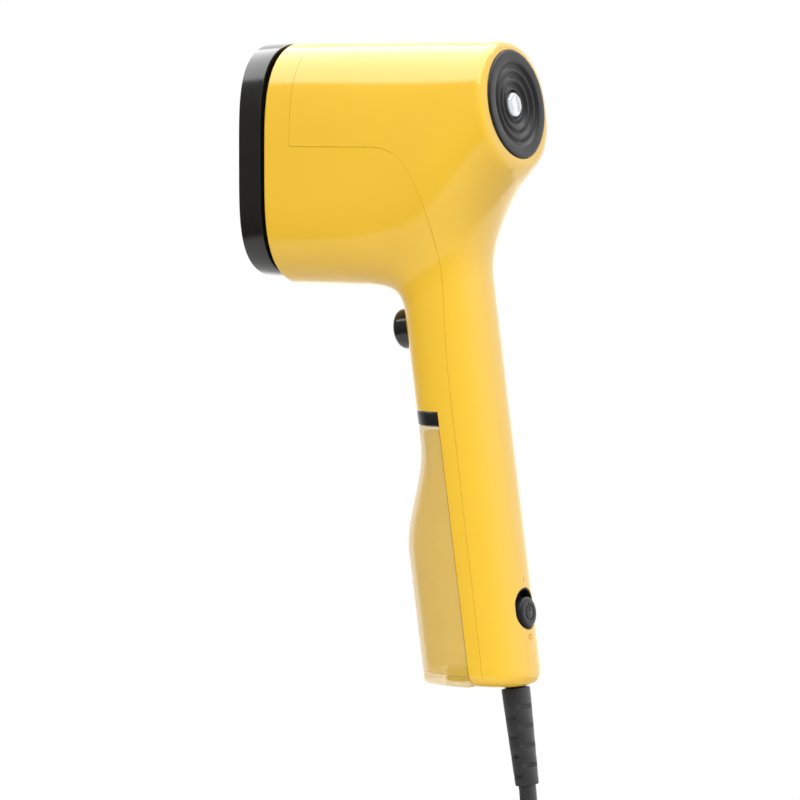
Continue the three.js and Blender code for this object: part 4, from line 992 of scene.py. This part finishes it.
# ------------------------------------------------------------------ rear lamp cap
def lamp_cap():
    rise, radius = 3.6, 21.7
    profile = [(0, 0), (radius, 0), (radius, rise - 0.9), (radius - 0.15, rise - 0.35), (radius - 0.6, rise),
               (radius - 1.2, rise + 0.05)]
    for step in range(61):
        share = step / 60
        place = radius * 0.8 + (6.0 - radius * 0.8) * share
        profile.append((place, rise - 1.3 * share - 0.55 * (1 - math.cos(share * 3 * 2 * math.pi))))
    profile += [(5.3, 1.5), (5.2, 1.2), (0, 1.2)]
    start = CAP_CENTRE - CAP_AXIS * 2.7
    cap = turned("lamp_cap", start, CAP_AXIS, profile, 128)
    finish_piece(cap, "black_satin", "housing", "rear_cap", angle=50)
    glass = [(0, 0), (4.9, 0), (4.95, 0.5), (4.8, 1.0), (4.2, 1.6), (3.2, 2.0), (2.0, 2.3), (0.9, 2.45), (0, 2.5)]
    lens = turned("lamp_lens", start + CAP_AXIS * 1.5, CAP_AXIS, glass, 64)
    finish_piece(lens, "clear_lens", "housing", "status_lens")


lamp_cap()


# ------------------------------------------------------------------ trigger
def trigger_button():
    r = TRIGGER_RADIUS
    profile = [(0, 0), (r * 0.3, 0.06), (r * 0.5, 0.2), (r * 0.68, 0.48), (r * 0.82, 0.95), (r * 0.92, 1.6),
               (r * 0.98, 2.5), (r, 3.6), (r, 12.4), (r + 0.6, 12.4), (r + 0.6, 13.8), (2.6, 13.8),
               (2.6, 21), (0, 21)]
    start = on_handle(TRIGGER_Z, TRIGGER_FACE)
    finish_piece(turned("trigger_button", start, REARWARD, profile, 96), "black_gloss", "trigger", "trigger")


trigger_button()


# ------------------------------------------------------------------ water tank
TANK_TOP, TANK_FOOT = -103.9, -202.6
TANK_WALL = 2.0


def tank_ring(z, inset, count=96):
    """Level section of the tank: flat behind, rounded in front, deeper in the belly than the neck."""
    depth = 18.2 + (31 - 18.2) * eased((-110 - z) / 46)
    rear = axis_x(z) + (BAY_REAR - 0.3) / math.cos(LEAN) - inset
    reach = depth + BAY_REAR - 0.3 - 2 * inset
    half = 17.9 - inset
    angles = np.linspace(-math.pi / 2, math.pi / 2, count)
    forward = np.abs(np.cos(angles)) ** (2 / 2.2)
    across = np.sign(angles) * np.abs(np.sin(angles)) ** (2 / 2.2)
    front = np.stack([rear - reach * forward, half * across, np.full(count, z)], axis=1)
    back = np.linspace(half, -half, 26)[1:-1]
    return np.concatenate([front, np.stack([np.full(24, rear), back, np.full(24, z)], axis=1)])


def tank_body():
    """The tank's blow-moulded body with its thick clear wall, the rounded foot, and the cavity inside."""
    heights = list(np.linspace(TANK_TOP - 0.6, TANK_FOOT, 60))
    rings = [tank_ring(TANK_TOP, 0.6), tank_ring(TANK_TOP - 0.25, 0.2)] + [tank_ring(z, 0.0) for z in heights]
    tank = from_rings("tank_body", rings)
    ceiling = TANK_TOP - TANK_WALL
    cavity = [tank_ring(ceiling, TANK_WALL + 1.2), tank_ring(ceiling - 0.5, TANK_WALL + 0.3)]
    cavity += [tank_ring(z, TANK_WALL) for z in np.linspace(ceiling - 1.4, TANK_FOOT - 1, 50)]
    cut(tank, from_rings("cutter", cavity), rod_tool(socket_line(TANK_TOP - 6), -DOWN_HANDLE, 2.85, 10, 48))
    finish_piece(tank, "tinted_tank", "tank", "water_tank", angle=40)

    low = HANDLE_BOTTOM + 0.7
    sections = [tank_ring(TANK_FOOT - 0.3, 0.25), tank_ring(TANK_FOOT - 0.55, 0.0), tank_ring(low, 0.0)]
    for angle in (15, 30, 45, 60, 75, 90):
        turn = math.radians(angle)
        sections.append(tank_ring(low - 0.7 * math.sin(turn), 0.7 * (1 - math.cos(turn))))
    base = from_rings("tank_foot", sections)
    stopper_x = axis_x(HANDLE_BOTTOM) - 16
    cut(base, rod_tool((stopper_x, 0, HANDLE_BOTTOM - 2), Vector((0, 0, 1)), 6.2, 10))
    finish_piece(base, "tinted_tank", "tank", "tank_base", angle=40)

    profile = [(0, 0.8), (4.2, 0.8), (4.5, 0.4), (5.3, 0.4), (5.7, 0.7), (5.8, 1.1), (5.8, 5), (4.9, 6.4),
               (0, 6.4)]
    stopper = turned("stopper_bung", (stopper_x, 0, HANDLE_BOTTOM), Vector((0, 0, 1)), profile, 64)
    finish_piece(stopper, "silicone", "filler_stopper", "filler_stopper")


def tank_neck():
    top, height = BAY_TOP - 0.3, 5.5
    rings = [tank_ring(top, 0.4), tank_ring(top - 0.15, 0.2), tank_ring(top - 0.4, 0.1)]
    foot = top - height
    rings += [tank_ring(foot + 0.4, 0.1), tank_ring(foot + 0.15, 0.2), tank_ring(foot, 0.4)]
    collar = from_rings("tank_band", rings)
    z = top - height / 2
    front = axis_x(z) - 18.2
    cut(collar, block_tool((front + 2.5, 0, z), (11, 12.6, height - 1.2)),
        rod_tool(socket_line(top - 10), -DOWN_HANDLE, 2.85, 14, 48))
    finish_piece(collar, "black_gloss", "tank", "tank_collar", angle=40)
    high = height / 2 - 0.9
    key = from_rings("latch_button", [tank_ring(z + high, -0.2), tank_ring(z + high - 0.3, -0.4),
                                      tank_ring(z - high + 0.3, -0.4), tank_ring(z - high, -0.2)])
    combine(key, block_tool((front + 0.2, 0, z), (6.4, 12, 2 * high + 2)), "INTERSECT")
    finish_piece(key, "black_gloss", "tank_latch", "latch_key", angle=40)


tank_body()
tank_neck()


# ------------------------------------------------------------------ slide switch
WELL_FLOOR = 13.4
KNOB_RADIUS, SWITCH_TRAVEL = 6.2, 2.9


def slide_switch():
    well = upright_oval("switch_recess", WELL_RADIUS, WELL_FLOOR - 1, 24)
    cut(well, upright_oval("cutter", WELL_RADIUS - 0.5, WELL_FLOOR, 26),
        block_tool(on_handle(SWITCH_Z, WELL_FLOOR), (4, 3.6, 8.6), -DOWN_HANDLE))
    just_inside = stations([(HEAD_FRONT, 0.0)], 6, 30, 40, [HANDLE_BOTTOM + 6, HANDLE_BOTTOM + 3], -0.25)
    trimmed = from_rings("cutter", casing_rings(just_inside, 128))
    combine(well, trimmed, "INTERSECT")
    finish_piece(well, "black_satin", "housing", "switch_well")

    lowered = SWITCH_Z - SWITCH_TRAVEL / 2
    r = KNOB_RADIUS
    profile = [(0, 0), (r, 0), (r, 4.4), (r - 0.12, 4.9), (r - 0.45, 5.25), (r - 1.0, 5.45), (r * 0.5, 5.55),
               (0, 5.6)]
    knob = turned("switch_knob_cap", on_handle(lowered, WELL_FLOOR + 0.3), REARWARD, profile, 80)
    face = WELL_FLOOR + 0.3 + 5.6
    symbol_z = lowered
    ring = flat_ring("cutter", 3.3, 0.6, face - 0.5, face + 1, symbol_z)
    cut(ring, upright_bar("cutter", 3.0, 2.2, face - 1, face + 2, symbol_z + 3.0))
    cut(knob, ring, upright_bar("cutter", 3.4, 0.6, face - 0.5, face + 1, symbol_z + 2.0))
    combine(knob, upright_bar("tongue", 4.0, 3.0, WELL_FLOOR - 3.4, WELL_FLOOR + 0.6, lowered), "UNION")
    soften(knob, 0.08, 2, 50)
    finish_piece(knob, "black_satin", "power_slider", "switch_knob")


slide_switch()


# ------------------------------------------------------------------ floor and light
def make_floor():
    low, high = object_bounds()
    deselect_all()
    bpy.ops.mesh.primitive_circle_add(vertices=128, radius=0.7, fill_type="NGON",
                                      location=((low.x + high.x) / 2, 0, low.z - 0.0005))
    floor = named("floor")
    settle(floor)
    material, tree, shader, place = new_material("pale_floor", {"Roughness": 0.7})
    mottled(tree, shader, place, "#D2D2D0", "#D8D8D6", 40, 2.0, 0.8)
    floor.data.materials.append(material)


def soft_light(name, place, target, size, power, diffuse=True, glossy=True, tint="#FFFFFF"):
    light = bpy.data.lights.new(name, "AREA")
    light.shape = "RECTANGLE"
    light.size, light.size_y = size
    light.energy = power
    light.color = colour(tint)[:3]
    lamp = bpy.data.objects.new(name, light)
    lamp.location = place
    lamp.rotation_mode = "QUATERNION"
    lamp.rotation_quaternion = (Vector(target) - Vector(place)).to_track_quat("-Z", "Y")
    lamp.visible_camera = False
    lamp.visible_diffuse = diffuse
    lamp.visible_glossy = glossy
    bpy.context.scene.collection.objects.link(lamp)
    return lamp


def make_light():
    scene = bpy.context.scene
    world = bpy.data.worlds.new("white_room")
    scene.world = world
    world.use_nodes = True
    tree = world.node_tree
    tree.nodes.clear()
    # Seen directly the room is white; as light it is brightest overhead and dim below, and gloss
    # sees the wall behind on the right grow steadily brighter.
    path = add(tree, "ShaderNodeLightPath", {})
    direction = add(tree, "ShaderNodeTexCoord", {})
    height = add(tree, "ShaderNodeSeparateXYZ", {}, {"Vector": direction.outputs["Generated"]})
    room = add(tree, "ShaderNodeMapRange", {"From Min": -0.5, "From Max": 0.9, "To Min": 0.04, "To Max": 0.5},
               {"Value": height.outputs["Z"]})
    towards = add(tree, "ShaderNodeVectorMath", {1: (0.33, 0.94, 0.0)}, {0: direction.outputs["Generated"]},
                  operation="DOT_PRODUCT")
    wall = add(tree, "ShaderNodeMapRange", {"From Min": -0.64, "From Max": 0.8, "To Min": 0.0, "To Max": 1.8},
               {"Value": towards.outputs["Value"]})
    seen = add(tree, "ShaderNodeMath", {}, {0: wall.outputs["Result"], 1: path.outputs["Is Glossy Ray"]},
               operation="MULTIPLY")
    both = add(tree, "ShaderNodeMath", {}, {0: room.outputs["Result"], 1: seen.outputs["Value"]}, operation="ADD")
    strength = add(tree, "ShaderNodeMix", {"B": 1.0},
                   {"Factor": path.outputs["Is Camera Ray"], "A": both.outputs["Value"]})
    background = add(tree, "ShaderNodeBackground", {"Color": (1, 1, 1, 1)},
                     {"Strength": strength.outputs["Result"]})
    output = add(tree, "ShaderNodeOutputWorld", {})
    tree.links.new(background.outputs["Background"], output.inputs["Surface"])
    scene.view_settings.view_transform = "Standard"
    # Overhead box that the gloss shows as a broad band along the top of the head.
    soft_light("top_box", (-0.6, -0.05, 1.35), (-0.6, -0.05, 0), (3.0, 2.5), 105, diffuse=False)
    # Large front light, above and a little to the right, that models the sides.
    soft_light("front_wash", (0.55, -1.7, 1.2), (0, 0, 0), (1.6, 1.6), 42, glossy=False)
    # Soft light from the right, on the rear of the handle.
    soft_light("right_wash", (1.5, 0.2, 0.5), (0, 0, 0.0), (1.4, 1.4), 9, glossy=False)
    # Soft light from behind on the left, for the steam face and the far side.
    soft_light("far_wash", (-1.3, 0.9, 0.9), (0, 0, 0.0), (1.6, 1.6), 34, glossy=False)


make_floor()
make_light()
